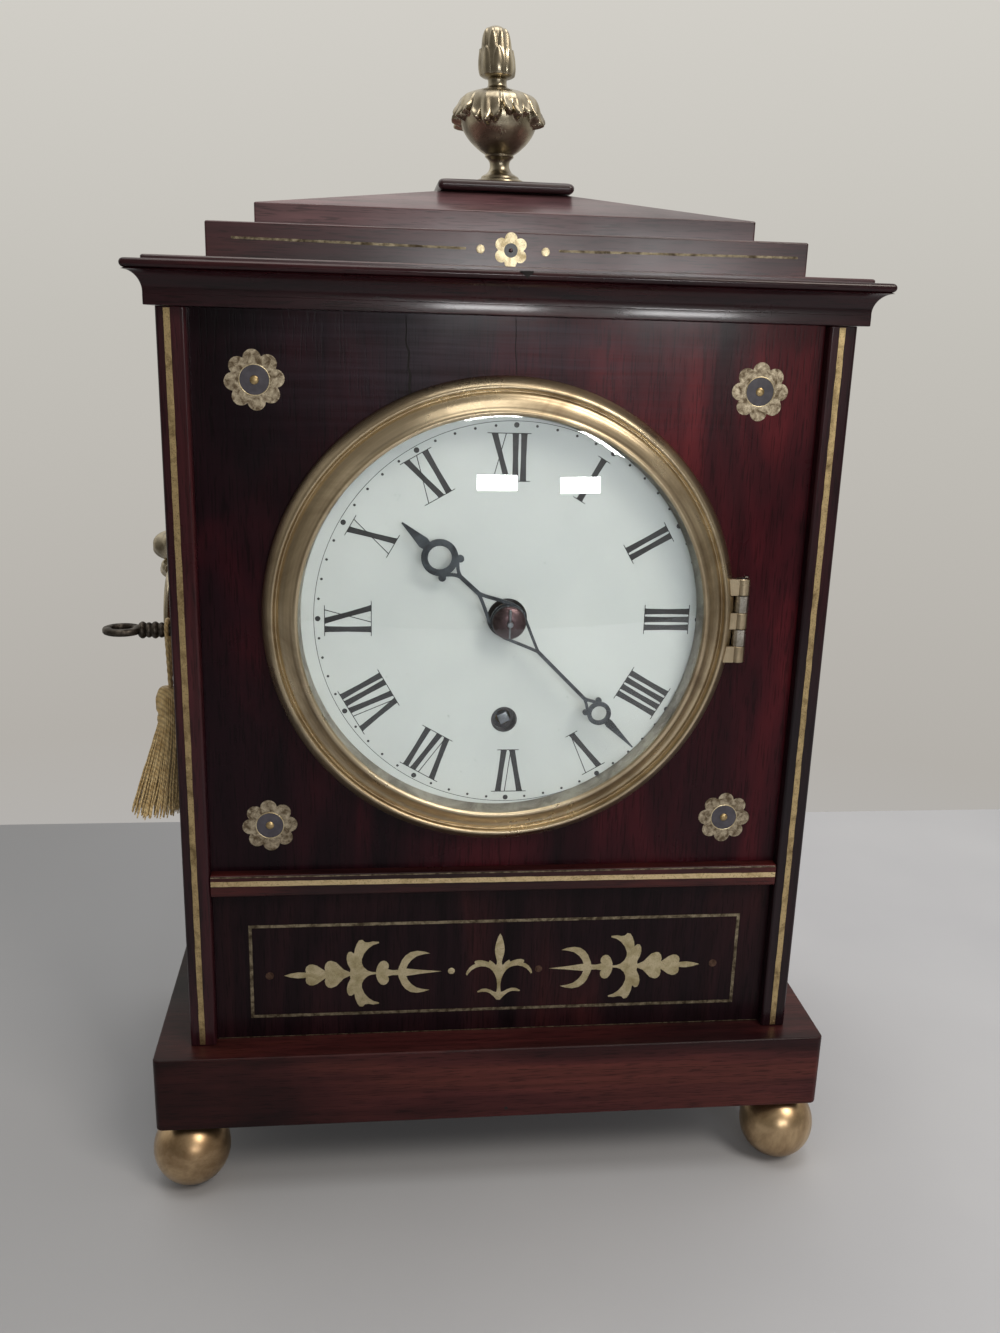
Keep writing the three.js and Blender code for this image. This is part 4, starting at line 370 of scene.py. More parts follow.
metal("motif_brass", "#cfc2a0", "#a3966f", (0.42, 0.56), 160, (0.4, 0.72), 0.04, 29, "#8c7d5e")
metal("roof_inlay", "#e6d8b4", "#b09b70", (0.34, 0.5), 240, (0.44, 0.7), 0.08, 33, "#6d5a3e")
metal("copper_dot", "#6a5246", "#43322a", (0.4, 0.6), 300, seed=37)
metal("sight_metal", "#b3ac9f", "#8a8276", (0.28, 0.42), 80, seed=41)
metal("steel", "#9aa0a6", "#6c7176", (0.24, 0.42), 120, seed=45)
metal("blued_steel", "#50565b", "#33373b", (0.3, 0.44), 120, dents=0.03, seed=49)
metal("iron", "#6a635b", "#352f2a", (0.4, 0.6), 180, (0.36, 0.6), 0.25, 53, "#1c1714")
metal("bronze", "#57474a", "#352a2b", (0.3, 0.44), 160, seed=57)
enamel("dial_enamel")
paint("dial_black", "#15171a", "#24272b", 0.4, 500)
paint("disc_grey", "#3a373f", "#4d4a53", 0.45, 260)
# A glossy black: the eye of the roof rosette, and the painted shade of the sleeves in the dial's holes
paint("ebony_and_hole_shade", "#0d0d10", "#1b1b20", 0.28, 200, 0.5)
paint("crack_dark", "#050303", "#120a0a", 0.8)
glass("clear_glass", "#f6f8f8")
thread("silk", "#d9c08c", "#a98a54")
thread("gut", "#cdb483", "#a88c59", 2200, 0.45)


# Mesh helpers

SMOOTH_ANGLE = 35


def link(name, mesh, look, body, slot, stands_for):
    made = bpy.data.objects.new(name, mesh)
    scene.collection.objects.link(made)
    mesh.materials.clear()
    mesh.materials.append(looks[look])
    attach(made, body)
    slot = slot or SLOTS.get(look, look)
    if stands_for:
        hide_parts(stands_for)
    return made


def settled(shell, mesh, sharp):
    """Write the edited shell into mesh, smooth up to the angle sharp."""
    for face in shell.faces:
        face.smooth = sharp > 0
    shell.to_mesh(mesh)
    shell.free()
    if sharp > 0:
        mesh.set_sharp_from_angle(angle=radians(sharp))


def even_shading(made):
    made.modifiers.new("even_shading", "WEIGHTED_NORMAL").keep_sharp = True


def joined(*forms):
    """Several (points, faces) forms as one."""
    points, faces = [], []
    for more_points, more_faces in forms:
        start = len(points)
        points += more_points
        faces += [[i + start for i in face] for face in more_faces]
    return points, faces


def piece(name, form, look, body="case", stands_for=None, sharp=SMOOTH_ANGLE, slot=None):
    """A mesh from points in clock millimetres."""
    points, faces = form
    mesh = bpy.data.meshes.new(name)
    mesh.from_pydata([at(*p) for p in points], [], [list(f) for f in faces])
    shell = bmesh.new()
    shell.from_mesh(mesh)
    bmesh.ops.remove_doubles(shell, verts=shell.verts, dist=2e-7)
    bmesh.ops.recalc_face_normals(shell, faces=shell.faces)
    settled(shell, mesh, sharp)
    return link(name, mesh, look, body, slot, stands_for)


def softened(node_name, look, width):
    """A copy of a wooden part with its edges worn round."""
    mesh = frame["nodes"][node_name].data.copy()
    shell = bmesh.new()
    shell.from_mesh(mesh)
    bmesh.ops.remove_doubles(shell, verts=shell.verts, dist=2e-6)
    bmesh.ops.dissolve_limit(shell, angle_limit=radians(1), verts=shell.verts, edges=shell.edges)
    edges = [e for e in shell.edges if len(e.link_faces) == 2 and e.calc_face_angle(0) > radians(25)]
    bmesh.ops.bevel(shell, geom=edges, offset=width * MM, segments=3, profile=0.5, affect="EDGES",
                    clamp_overlap=True)
    settled(shell, mesh, SMOOTH_ANGLE)
    even_shading(link(node_name + "_worn", mesh, look, "case", None, node_name))


def turns(steps):
    return [2 * pi * k / steps for k in range(steps)]


def grid(rows, steps, ends=False, ring=False):
    """Faces between rows of points, each row closed on itself.

    ends closes the first and last row, and ring joins the last row to the first.
    """
    faces = []
    for row in range(rows if ring else rows - 1):
        here, there = row * steps, (row + 1) % rows * steps
        for k in range(steps):
            after = (k + 1) % steps
            faces.append([here + k, here + after, there + after, there + k])
    if ends:
        faces += [list(range(steps)), list(range((rows - 1) * steps, rows * steps))]
    return faces


def turned(profile, steps, place, axis="y"):
    """A turned form: rows of (radius, distance along the axis) swept about an axis through place."""
    points = []
    for radius, along in profile:
        for angle in turns(steps):
            u, v = radius * cos(angle), radius * sin(angle)
            offset = {"x": (along, u, v), "y": (u, along, v), "z": (u, v, along)}[axis]
            points.append(tuple(p + o for p, o in zip(place, offset)))
    return points, grid(len(profile), steps)


def smooth_line(points, steps):
    """A Catmull-Rom line through points."""
    made = []
    last = len(points) - 1
    for i in range(last):
        ends = points[max(i - 1, 0)], points[i], points[i + 1], points[min(i + 2, last)]
        for t in (s / steps for s in range(steps)):
            made.append(tuple(
                b + t / 2 * (c - a + t * (2 * a - 5 * b + 4 * c - d + t * (3 * b - 3 * c + d - a)))
                for a, b, c, d in zip(*ends)))
    return made + [tuple(points[-1])]


def slab(loops, front, back):
    """A flat plate that faces the front: loops of (x, z) points, an outline and then its holes."""
    flat = [p for loop in loops for p in loop]
    count = len(flat)
    triangles = tessellate_polygon([[Vector((x, z, 0)) for x, z in loop] for loop in loops])
    points = [(x, y, z) for y in (front, back) for x, z in flat]
    faces = [[i + shift for i in t] for shift in (0, count) for t in triangles]
    start = 0
    for loop in loops:
        size = len(loop)
        for i in range(size):
            a, b = start + i, start + (i + 1) % size
            faces.append([a, b, b + count, a + count])
        start += size
    return points, faces


def block(x0, x1, y0, y1, z0, z1):
    return slab([[(x0, z0), (x1, z0), (x1, z1), (x0, z1)]], y0, y1)


def circle(x, z, radius, steps):
    return [(x + radius * cos(angle), z + radius * sin(angle)) for angle in turns(steps)]


def dome(x, z, radius, seat, rise, steps=24):
    slopes = [i / 6 * pi / 2 for i in range(7)]
    rows = [(radius, INLAY_DEEP)] + [(radius * cos(angle), -rise * sin(angle)) for angle in slopes]
    return turned(rows, steps, (x, seat, z))


def stroke(a, b, width):
    """A straight stroke between two points."""
    dx, dz = b[0] - a[0], b[1] - a[1]
    length = hypot(dx, dz)
    out_x, out_z = -dz / length * width / 2, dx / length * width / 2
    return [(a[0] - out_x, a[1] - out_z), (b[0] - out_x, b[1] - out_z),
            (b[0] + out_x, b[1] + out_z), (a[0] + out_x, a[1] + out_z)]


def tube(path, radius_at, sides, twist, lobes, lobe_depth):
    """A tube along path, in clock millimetres, with a lobed and twisted section."""
    points = []
    count = len(path)
    vectors = [Vector(p) for p in path]
    side = None
    for i, here in enumerate(vectors):
        ahead = (vectors[min(i + 1, count - 1)] - vectors[max(i - 1, 0)]).normalized()
        if side is None:
            first = Vector((1, 0, 0)) if abs(ahead.x) < 0.9 else Vector((0, 1, 0))
            side = (first - ahead * first.dot(ahead)).normalized()
        side = (side - ahead * side.dot(ahead)).normalized()
        other = ahead.cross(side)
        for angle in turns(sides):
            radius = radius_at(i / (count - 1)) * (1 - lobe_depth * abs(sin(lobes * (angle - twist * i) / 2)))
            points.append(tuple(here + side * (radius * cos(angle)) + other * (radius * sin(angle))))
    return points, grid(count, sides, ends=True)


CORNER_STEPS = 6


def moulded(levels):
    """A stack of rounded rectangles about the middle of the case: (half x, half y, z, corner radius)."""
    points = []
    for half_x, half_y, z, corner in levels:
        for sx, sy, start in ((1, 1, 0), (-1, 1, 90), (-1, -1, 180), (1, -1, 270)):
            for i in range(CORNER_STEPS + 1):
                angle = radians(start + 90 * i / CORNER_STEPS)
                points.append((sx * (half_x - corner) + corner * cos(angle),
                               CASE_MIDDLE_Y + sy * (half_y - corner) + corner * sin(angle), z))
    return points, grid(len(levels), 4 * (CORNER_STEPS + 1), ends=True)


# Tassel and its cord, on the neck of the key

CORD_X = -151.2
KEY_Y = 22
KEY_Z = 275.2
CORD_RADIUS = 1
CORD_FOOT = [(0.3, 212), (0.5, 224), (0.8, 236), (1.1, 244)]
CORD_SIDE = [(1.35, 249), (1.9, 254), (2.6, 259), (3.3, 264), (3.95, 269), (4.3, 273), (4.25, 276.5),
             (3.1, 278.9), (1.3, 279.8)]
CORD_ROUTE = CORD_FOOT + CORD_SIDE + [(-across, z) for across, z in reversed(CORD_SIDE)]
TASSEL_X = -152.6
TASSEL_TOP = 248.4
TASSEL_HEIGHT = 60.7
TASSEL_LEAN = 7.8
HEAD_RINGS = [
    (0, 3), (0.02, 4.2), (0.06, 5.2), (0.1, 5.6), (0.14, 5.7), (0.17, 5.5), (0.195, 4.9), (0.21, 4.9),
    (0.225, 5.3), (0.245, 5.4), (0.265, 5.2), (0.28, 4.9), (0.3, 4.6), (0.33, 4),
]
HEAD_RIDGES = 36
HEAD_RIDGE_DEPTH = 0.07
HEAD_TWIST = 9
SKIRT_STRANDS = 120
SKIRT_START = 0.27
SKIRT_FALL = 1 - SKIRT_START
SKIRT_NECK, SKIRT_FLARE = 4.7, 7
STRAND_TURN = 2.39996
STRAND_POINTS = 26
STRAND_WOBBLE = 1.1


def strand_radius(share):
    return 0.5 if share < 0.97 else 0.36


def make_tassel():
    route = smooth_line([(CORD_X, KEY_Y + across, z) for across, z in CORD_ROUTE], 6)
    length = sum((Vector(b) - Vector(a)).length for a, b in zip(route, route[1:])) * MM
    twisted = tube(route, lambda t: CORD_RADIUS, sides=12, twist=0.42, lobes=3, lobe_depth=0.22)
    cord = piece("cord_twisted", twisted, "silk", "tassel", "tassel_cord", sharp=60)
    rings = smooth_line(HEAD_RINGS, 4)
    steps = 4 * HEAD_RIDGES
    points = []
    for share, radius in rings:
        for angle in turns(steps):
            reach = radius * (1 - HEAD_RIDGE_DEPTH * abs(sin(HEAD_RIDGES * angle / 2 + HEAD_TWIST * share)))
            points.append((TASSEL_X + reach * cos(angle), KEY_Y + reach * sin(angle),
                           TASSEL_TOP - share * TASSEL_HEIGHT))
    ridged = points, grid(len(rings), steps, ends=True)
    head = piece("tassel_head", ridged, "silk", "tassel", "tassel", sharp=70)
    strands = []
    for k in range(SKIRT_STRANDS):
        angle = k * STRAND_TURN
        depth = 0.35 + 0.65 * sqrt((k + 0.5) / SKIRT_STRANDS)
        line = []
        for i in range(STRAND_POINTS):
            share = SKIRT_START + SKIRT_FALL * i / (STRAND_POINTS - 1) * (0.985 + 0.015 * sin(7.1 * k))
            fall = (share - SKIRT_START) / SKIRT_FALL
            radius = depth * (SKIRT_NECK + SKIRT_FLARE * fall ** 0.85) - 2.5 * depth * max(0, fall - 0.9)
            sway = Vector((k * 0.37, fall * 3.2, 1.5))
            wobble, wobble_too = (STRAND_WOBBLE * fall * noise.noise(sway + shift)
                                  for shift in (Vector((0, 0, 0)), Vector((40, 0, 7))))
            line.append((TASSEL_X - TASSEL_LEAN * fall ** 1.15 + radius * cos(angle) + wobble,
                         KEY_Y + radius * sin(angle) + wobble_too, TASSEL_TOP - share * TASSEL_HEIGHT))
        strands.append(tube(line, strand_radius, sides=7, twist=0.7, lobes=2, lobe_depth=0.3))
    skirt = piece("tassel_skirt", joined(*strands), "silk", "tassel", sharp=75)
    list(at(*route[0]))
    [list(at(*p)) for p in route]


make_tassel()


# Feet

FOOT_RADIUS = 18.8
FOOT_GIRTH = 0.984
FOOT_MIDDLE_Z = 18.5
FOOT_TOP = 37.1
FOOT_X = 148.35
FOOT_STEPS = 40


def make_feet():
    rows = []
    for i in range(FOOT_STEPS + 1):
        angle = pi * i / FOOT_STEPS
        z = FOOT_MIDDLE_Z - FOOT_RADIUS * cos(angle)
        if 0 <= z <= FOOT_TOP:
            rows.append((FOOT_GIRTH * FOOT_RADIUS * sin(angle), z))
    low, high = (FOOT_GIRTH * sqrt(FOOT_RADIUS ** 2 - cut ** 2)
                 for cut in (FOOT_MIDDLE_Z, FOOT_TOP - FOOT_MIDDLE_Z))
    rows = [(0, 0), (low, 0)] + rows + [(high, FOOT_TOP), (0, FOOT_TOP)]
    for end, y in (("front", 2.85), ("rear", 167.15)):
        for side, x in (("left", -FOOT_X), ("right", FOOT_X)):
            piece(f"ball_{end}_{side}", turned(rows, 72, (x, y, 0), "z"), "foot_brass",
                  stands_for=f"foot_{end}_{side}", sharp=60)


make_feet()


# Wooden case. Boards are half width, half depth, level, rounding of the edges and of the corners.

PLINTH = (162.85, 96.65, 37.2, 75.4, 0.9, 3)
LEDGE_X, LEDGE_Y, LEDGE_Z = 150.5, 89, 432.25
LEDGE_ROWS = [(0, 0, 1.2), (0, 1.1, 1.2), (0.4, 1.6, 1.2), (1, 1.7, 1.2), (22.5, 1.7, 0.8)]
LOWER_STEP_TOP = (128, 66.5, 448.95, 0.8, 0.8)
UPPER_STEP = (109.5, 48, 449.05, 458.45, 0.7, 0.8)
ROOF_PEAK = (26.1, 26.1, 468.25, 0.8)
FINIAL_PAD = (30.6, 30.6, 468.35, 472.95, 2.3, 2.35)
CORNICE_X, CORNICE_Y, CORNICE_Z = 146.5, 85, 414.8
CORNICE_NECK = 3.9
CORNICE_REACH = 11.1
FILLET_HEIGHT = 4.5
FILLET_EDGE = (0.35, 0.8)
QUIRK = 0.1
COVE_FOOT, COVE_RISE, COVE_STOP = 5, 8.25, 0.5
BEAD_FOOT, BEAD_HEIGHT, BEAD_DEPTH = 13.75, 1.8, 1.5


def edge_rows(half_x, half_y, level, rounding, corner, steps, top):
    """Levels of a board's rounded top edge, or of its bottom edge."""
    rows = []
    for i in range(steps + 1):
        angle = pi / 2 * i / steps
        near, far = rounding * (1 - sin(angle)), rounding * (1 - cos(angle))
        rows.append((half_x - far, half_y - far, level - near, corner) if top
                    else (half_x - near, half_y - near, level + far, corner))
    return rows


def board_rows(half_x, half_y, low, high, *edge, steps=4):
    return [row for level, top in ((low, False), (high, True))
            for row in edge_rows(half_x, half_y, level, *edge, steps, top)]


def cornice_rows():
    """A fillet with its quirk, a cove and a bead."""
    def level(out, rise, corner):
        return CORNICE_X + out, CORNICE_Y + out, CORNICE_Z + rise, corner

    neck_x, neck_y = CORNICE_X + CORNICE_NECK, CORNICE_Y + CORNICE_NECK
    rows = board_rows(neck_x, neck_y, CORNICE_Z, CORNICE_Z + FILLET_HEIGHT, *FILLET_EDGE, steps=2)[:-1]
    rows.append(level(CORNICE_NECK, FILLET_HEIGHT - QUIRK, FILLET_EDGE[1]))
    for i in range(15):
        angle = i / 14 * pi / 2
        out = CORNICE_NECK + (CORNICE_REACH - CORNICE_NECK - COVE_STOP) * (1 - cos(angle))
        rows.append(level(out, COVE_FOOT + COVE_RISE * sin(angle), 1))
    for i in range(13):
        angle = -pi / 2 + i / 12 * pi
        rows.append(level(CORNICE_REACH - BEAD_DEPTH * (1 - cos(angle)),
                          BEAD_FOOT + BEAD_HEIGHT + BEAD_HEIGHT * sin(angle), BEAD_DEPTH))
    return rows


def make_case():
    lower = [(LEDGE_X - inset, LEDGE_Y - inset, LEDGE_Z + rise, corner) for inset, rise, corner in LEDGE_ROWS]
    lower += edge_rows(*LOWER_STEP_TOP, steps=4, top=True)
    for name, rows, look, stands_for in (
            ("plinth_board", board_rows(*PLINTH), "plinth_wood", "plinth"),
            ("cornice_moulding", cornice_rows(), "cornice_wood", "cornice"),
            ("roof_lower_board", lower, "roof_sheen_wood", "lower_roof_step"),
            ("roof_upper_board", board_rows(*UPPER_STEP) + [ROOF_PEAK], "roof_top_reflection_wood", "upper_roof_step"),
            ("pad_board", board_rows(*FINIAL_PAD, steps=6), "roof_sheen_wood", "finial_pad")):
        even_shading(piece(name, moulded(rows), look, stands_for=stands_for))
    for name in ("post_front_left", "post_front_right", "post_rear_left", "post_rear_right"):
        softened(name, "dark_post", 0.45)
    softened("front_rail", "mahogany_x", 0.5)


make_case()


# Brass inlay on the posts, rail, lower panel and roof

WEAR_SCALE = 0.35


def inlay(name, loops, seat, look, proud=INLAY_PROUD):
    piece(name, slab(loops, seat - proud, seat + INLAY_DEEP), look, sharp=40)


def uneven(loop, amount, step, seed):
    """A line's outline with slightly worn edges."""
    made = []
    for (x0, z0), (x1, z1) in zip(loop, loop[1:] + loop[:1]):
        length = hypot(x1 - x0, z1 - z0)
        parts = max(1, int(length / step))
        for s in range(parts):
            t = s / parts
            x, z = x0 + (x1 - x0) * t, z0 + (z1 - z0) * t
            shift = noise.noise(Vector((x * WEAR_SCALE, z * WEAR_SCALE, seed))) * amount if s else 0
            made.append((x + shift * (z1 - z0) / length, z - shift * (x1 - x0) / length))
    return made


# Each line's ends and width, its wear with the wear's step and seed, then its seat, look and lift
LINES = {
    "strip_post_left": ((-140.9, 76.2), (-141.85, 414), 2.6, 0.25, 5, 1, 0, "inlay_bright"),
    "strip_post_right": ((140.3, 76.2), (139.8, 414), 2.7, 0.25, 5, 2, 0, "inlay_bright"),
    "strip_rail": ((-134, 160), (134, 159), 2.5, 0.2, 5, 3, 0, "rail_brass"),
    "strip_rail_edge": ((-134, 163.2), (134, 163.2), 0.5, 0.12, 5, 4, 0, "inlay_dull", 0.03),
    "panel_foot_line": ((-134, 75.8), (134, 75.8), 0.45, 0.1, 4, 9, PANEL_Y, "inlay_dull", 0.03),
    "roof_line_left": ((-117.4, 442.6), (-20.5, 441.6), 1, 0.15, 4, 7, ROOF_Y, "inlay_dull"),
    "roof_line_right": ((19, 441.8), (123.5, 442.6), 1, 0.15, 4, 8, ROOF_Y, "inlay_dull"),
}
STRINGING = (-118.2, 120.2, 86.3, 135.7)
STRINGING_WIDTH = 1.5
# The small domed dots' places and radii, their seats, how far they stand out, and their looks
DOTS = {
    "roof_dot_left": (-14.4, 441.5, 1.8, ROOF_Y, 0.12, "roof_inlay"),
    "roof_dot_right": (13.3, 441.2, 1.8, ROOF_Y, 0.12, "roof_inlay"),
    "dot_a": (-108.9, 108.7, 2, PANEL_Y, 0.12, "copper_dot"),
    "dot_b": (-21.9, 108.5, 1.7, PANEL_Y, 0.12, "motif_brass"),
    "dot_c": (20.9, 108.3, 1.8, PANEL_Y, 0.12, "copper_dot"),
    "dot_d": (108.5, 108.6, 2, PANEL_Y, 0.12, "copper_dot"),
}
MOTIFS = (("left", 1, -102.2, 108.6), ("right", -1, 101.6, 108.4))
FLEUR_X, FLEUR_Z = 1.5, 91.9
MOTIF_HALF = [
    (0, 0), (3, 1), (6.5, 1.6), (9, 1.5), (10.4, 1.3), (10.2, 3), (10.6, 4.4), (12, 5.5), (13.6, 5.7),
    (15.7, 4.9), (18.3, 2.9), (19.6, 2), (19.3, 3.8), (19.8, 5.8), (21, 7.1), (22.4, 7.3), (24.8, 6.4),
    (26.6, 4.4), (28.4, 2.4), (31.4, 0.95), (31.6, 2.6), (30.3, 5.4), (29.8, 8), (30, 10.2),
    (30.8, 11.7), (32, 11.9), (33.4, 10.8), (33.8, 13.4), (34.7, 16), (35.8, 17.8), (37.3, 18.1),
    (38.6, 16.8), (40.2, 16.6), (42.4, 17.1), (45.2, 16.8), (45.3, 16.1), (42.6, 15.2), (40.2, 13.4),
    (38.2, 10.8), (37, 7.6), (37.1, 5.4), (38, 3.3), (39.8, 1.5), (41.8, 0.7), (43.9, 0.55),
    (43.9, 1.6), (44.4, 3.4), (45.2, 5), (46.2, 6.2), (47.6, 6.6), (49, 6), (49.9, 4.6), (50, 3),
    (49.4, 1.9), (52, 1.3), (54.5, 1.4), (54.9, 3), (56.4, 6.8), (58, 9), (60.4, 10.8), (63.6, 11.4),
    (67.1, 10.9), (69.7, 9.9), (66.4, 9.4), (63.4, 8.5), (61, 6.6), (59.2, 4.2), (58.4, 2), (66, 1),
    (75.6, 0),
]
FLEUR_HALF = [
    (0, 36.2), (0.9, 34.6), (1.7, 31.9), (2.2, 29.4), (2.35, 27.2), (2.1, 24.9), (1.5, 22.6),
    (1.15, 21), (1.25, 19.8), (1.7, 19), (2.6, 20.2), (3.7, 21.2), (4.7, 21.9), (5.2, 21.2),
    (5.3, 20.8), (6.6, 21.4), (8.6, 22), (10.6, 22.1), (12, 21.6), (12.2, 20.9), (11.7, 20.1),
    (13.1, 19.5), (14.6, 18.2), (15.8, 16.3), (16.3, 14.6), (15.7, 13.9), (14.9, 15.2), (13.4, 16.9),
    (11.4, 18.1), (9, 18.7), (6.8, 18.5), (4.9, 17.7), (3.3, 16.2), (2.1, 14.1), (1.2, 11.6),
    (0.8, 8.8), (0.8, 6.4), (1.1, 4.3), (2.3, 4.6), (4, 5.6), (6.2, 6.4), (8.4, 6.3), (10.6, 5),
    (10.3, 4.4), (8.2, 4.7), (6, 4.6), (4.2, 3.7), (2.5, 2.1), (0.9, 0.1),
]


def make_lines():
    for name, (start, end, width, wear, step, seed, *rest) in LINES.items():
        inlay(name, [uneven(stroke(start, end, width), wear, step, seed)], *rest)
    x0, x1, z0, z1 = STRINGING
    loops = []
    for inset, seed in ((0, 5), (STRINGING_WIDTH, 6)):
        corners = [(x0 + inset, z0 + inset), (x1 - inset, z0 + inset), (x1 - inset, z1 - inset),
                   (x0 + inset, z1 - inset)]
        loops.append(uneven(corners, 0.12, 4, seed))
    inlay("stringing", loops, PANEL_Y, "inlay_dull")
    for name, (*shape, look) in DOTS.items():
        piece(name, dome(*shape), look)


def make_motifs():
    whole = MOTIF_HALF + [(u, -v) for u, v in reversed(MOTIF_HALF[1:-1])]
    for name, side, x, z in MOTIFS:
        inlay("motif_" + name, [[(x + side * u, z + v) for u, v in whole][::side]], PANEL_Y, "motif_brass")
    fleur = FLEUR_HALF + [(0, 0)] + [(-u, v) for u, v in reversed(FLEUR_HALF[1:])]
    inlay("motif_middle", [[(FLEUR_X + u, FLEUR_Z + v) for u, v in fleur]], PANEL_Y, "motif_brass")


make_lines()
make_motifs()


def petal_outline(x, z, petals, reach, petal_radius, turn):
    """Outline of a flower whose petals are circles centred at reach from its middle."""
    made = []
    steps = 10
    for k in range(petals):
        for i in range(steps):
            offset = (i / steps - 0.5) * 2 * pi / petals
            inside = max(petal_radius ** 2 - (reach * sin(offset)) ** 2, 0)
            radius = reach * cos(offset) + sqrt(inside)
            angle = turn + 2 * pi * k / petals + offset
            made.append((x + radius * cos(angle), z + radius * sin(angle)))
    return made


ROSETTES = {"top_left": (-108.4, 386.3, 95), "top_right": (107.6, 386.3, 90), "low_left": (-106.9, 186.6, 93),
            "low_right": (107.7, 187.1, 88)}
# Petals, with the reach and radius of each
ROSETTE_PETALS, ROOF_PETALS = (8, 8.7, 3.8), (6, 4.6, 2.65)
ROSETTE_EYE, ROOF_EYE = 6.5, 2.9
ROSETTE_RING = [(6.5, INLAY_DEEP), (6.5, -0.12), (6.3, -0.2), (6.1, -0.12), (6.1, INLAY_DEEP)]
ROSETTE_DISC = [(6.1, INLAY_DEEP), (6.1, -0.02), (5.6, -0.05), (0, -0.05)]
ROOF_DISC = [(ROOF_EYE, INLAY_DEEP), (ROOF_EYE, -0.03), (0, -0.03)]
ROOF_ROSETTE = (-1.5, 441.4)


def make_rosettes():
    for name, (x, z, turn) in ROSETTES.items():
        flower = petal_outline(x, z, *ROSETTE_PETALS, radians(turn))
        inlay("rosette_" + name, [flower, circle(x, z, ROSETTE_EYE, 40)], PANEL_Y, "rosette_brass")
        piece("rosette_ring_" + name, turned(ROSETTE_RING, 48, (x, PANEL_Y, z)), "roof_inlay")
        piece("rosette_disc_" + name, turned(ROSETTE_DISC, 40, (x, PANEL_Y, z)), "disc_grey")
        piece("rosette_stud_" + name, dome(x, z, 1.9, PANEL_Y, 0.7), "inlay_bright")
    x, z = ROOF_ROSETTE
    flower = petal_outline(x, z, *ROOF_PETALS, radians(90))
    inlay("roof_rosette", [flower, circle(x, z, ROOF_EYE, 32)], ROOF_Y, "roof_inlay")
    piece("roof_rosette_disc", turned(ROOF_DISC, 32, (x, ROOF_Y, z)), "ebony_and_hole_shade")
    piece("roof_rosette_stud", dome(x, z, 0.9, ROOF_Y, 0.35, 16), "bronze", slot="polished_brass")


make_rosettes()


# Cracks in the front panel, the chip in the cornice and the plug in the plinth

# Each crack's points from the top down, with its width at each
CRACKS = {
    "crack_left": [(-45.9, 414.4, 0.35), (-45.6, 408, 0.5), (-45.9, 403, 0.6), (-44.4, 399, 0.9),
                   (-44.8, 393, 0.8), (-43.8, 389.5, 1), (-44.3, 386, 1.1), (-43.9, 381, 0.7)],
    "crack_right": [(0, 414.4, 0.3), (0.3, 408, 0.3), (0.1, 401, 0.25), (0.9, 395, 0.25), (1.1, 390.5, 0.15)],
}
CORNICE_FRONT, PLINTH_FRONT = -11.17, -11.65
MARK_PROUD = 0.03
CHIP = [(-1, 432.1), (4.9, 432.1), (4.2, 430.9), (2.9, 430.2), (2.1, 429.2), (1.3, 430.4), (0.2, 431.2)]


def mark_wood(name, loop, seat, deep):
    piece(name, slab([loop], seat - MARK_PROUD, seat + deep), "crack_dark", sharp=0)


def make_marks():
    for name, line in CRACKS.items():
        left = [(x - width / 2, z) for x, z, width in line]
        right = [(x + width / 2, z) for x, z, width in line]
        mark_wood(name, left + right[::-1], PANEL_Y, 0.3)
    mark_wood("plinth_plug", circle(4.9, 42.2, 0.9, 16), PLINTH_FRONT, 0.25)
    mark_wood("cornice_chip", CHIP, CORNICE_FRONT, 0.57)


make_marks()


# Finial: a vase with draped leaves and a bud

FINIAL_BASE = 473.05
FINIAL_HEIGHT = 68
FINIAL_LEAN = -3.8
FINIAL_STEPS = 320
FINIAL_ROWS = [
    (0, 0), (10.2, 0), (10.9, 0.5), (11.15, 1.5), (10.9, 2.6), (10.1, 3.2), (9.1, 3.4), (8.9, 3.8),
    (8.6, 4.5), (7.6, 5.1), (6, 6.1), (5, 7.4), (4.55, 8.9), (4.6, 10.4), (5.1, 11.6), (6, 12.5),
    (6.5, 12.9), (6.7, 13.4), (6.5, 13.9), (7, 14.3), (8.6, 15.3), (10.6, 16.9), (12.9, 19), (15, 21.6),
    (16.6, 24.4), (17.6, 27.4), (18, 30.6), (17.7, 33.8), (16.8, 36.4), (14.8, 38.6), (11.4, 40.3),
    (7.6, 41.5), (5.2, 42.3), (4.4, 43.3), (4.25, 44.8), (4.5, 45.9), (5.6, 46.3), (6.6, 46.8),
    (7.2, 48.4), (7.4, 51), (7.1, 54.4), (6.5, 57.6), (6.1, 60.6), (5.7, 63.2), (5, 65.4), (3.7, 67),
    (1.9, 67.85), (0, 68),
]
LEAF_TURN = radians(-112.8)
LEAVES = 8
# Heights of the leaves' tips and thickness of their bodies, for every other leaf
LEAF_TIPS, LEAF_BODIES = (24.4, 27.2), (1.1, 0.6)
LEAF_TOP = 42.4
BUD_PETALS = 8
BUD_FOOT = 46.2
# Turn by a share of a petal, top and thickness of the outer and the inner petals
PETAL_ROWS = ((0, 58.6, 1.25), (0.5, 66.8, 0.75))


def eased(value, low, high):
    t = min(max((value - low) / (high - low), 0), 1)
    return t * t * (3 - 2 * t)


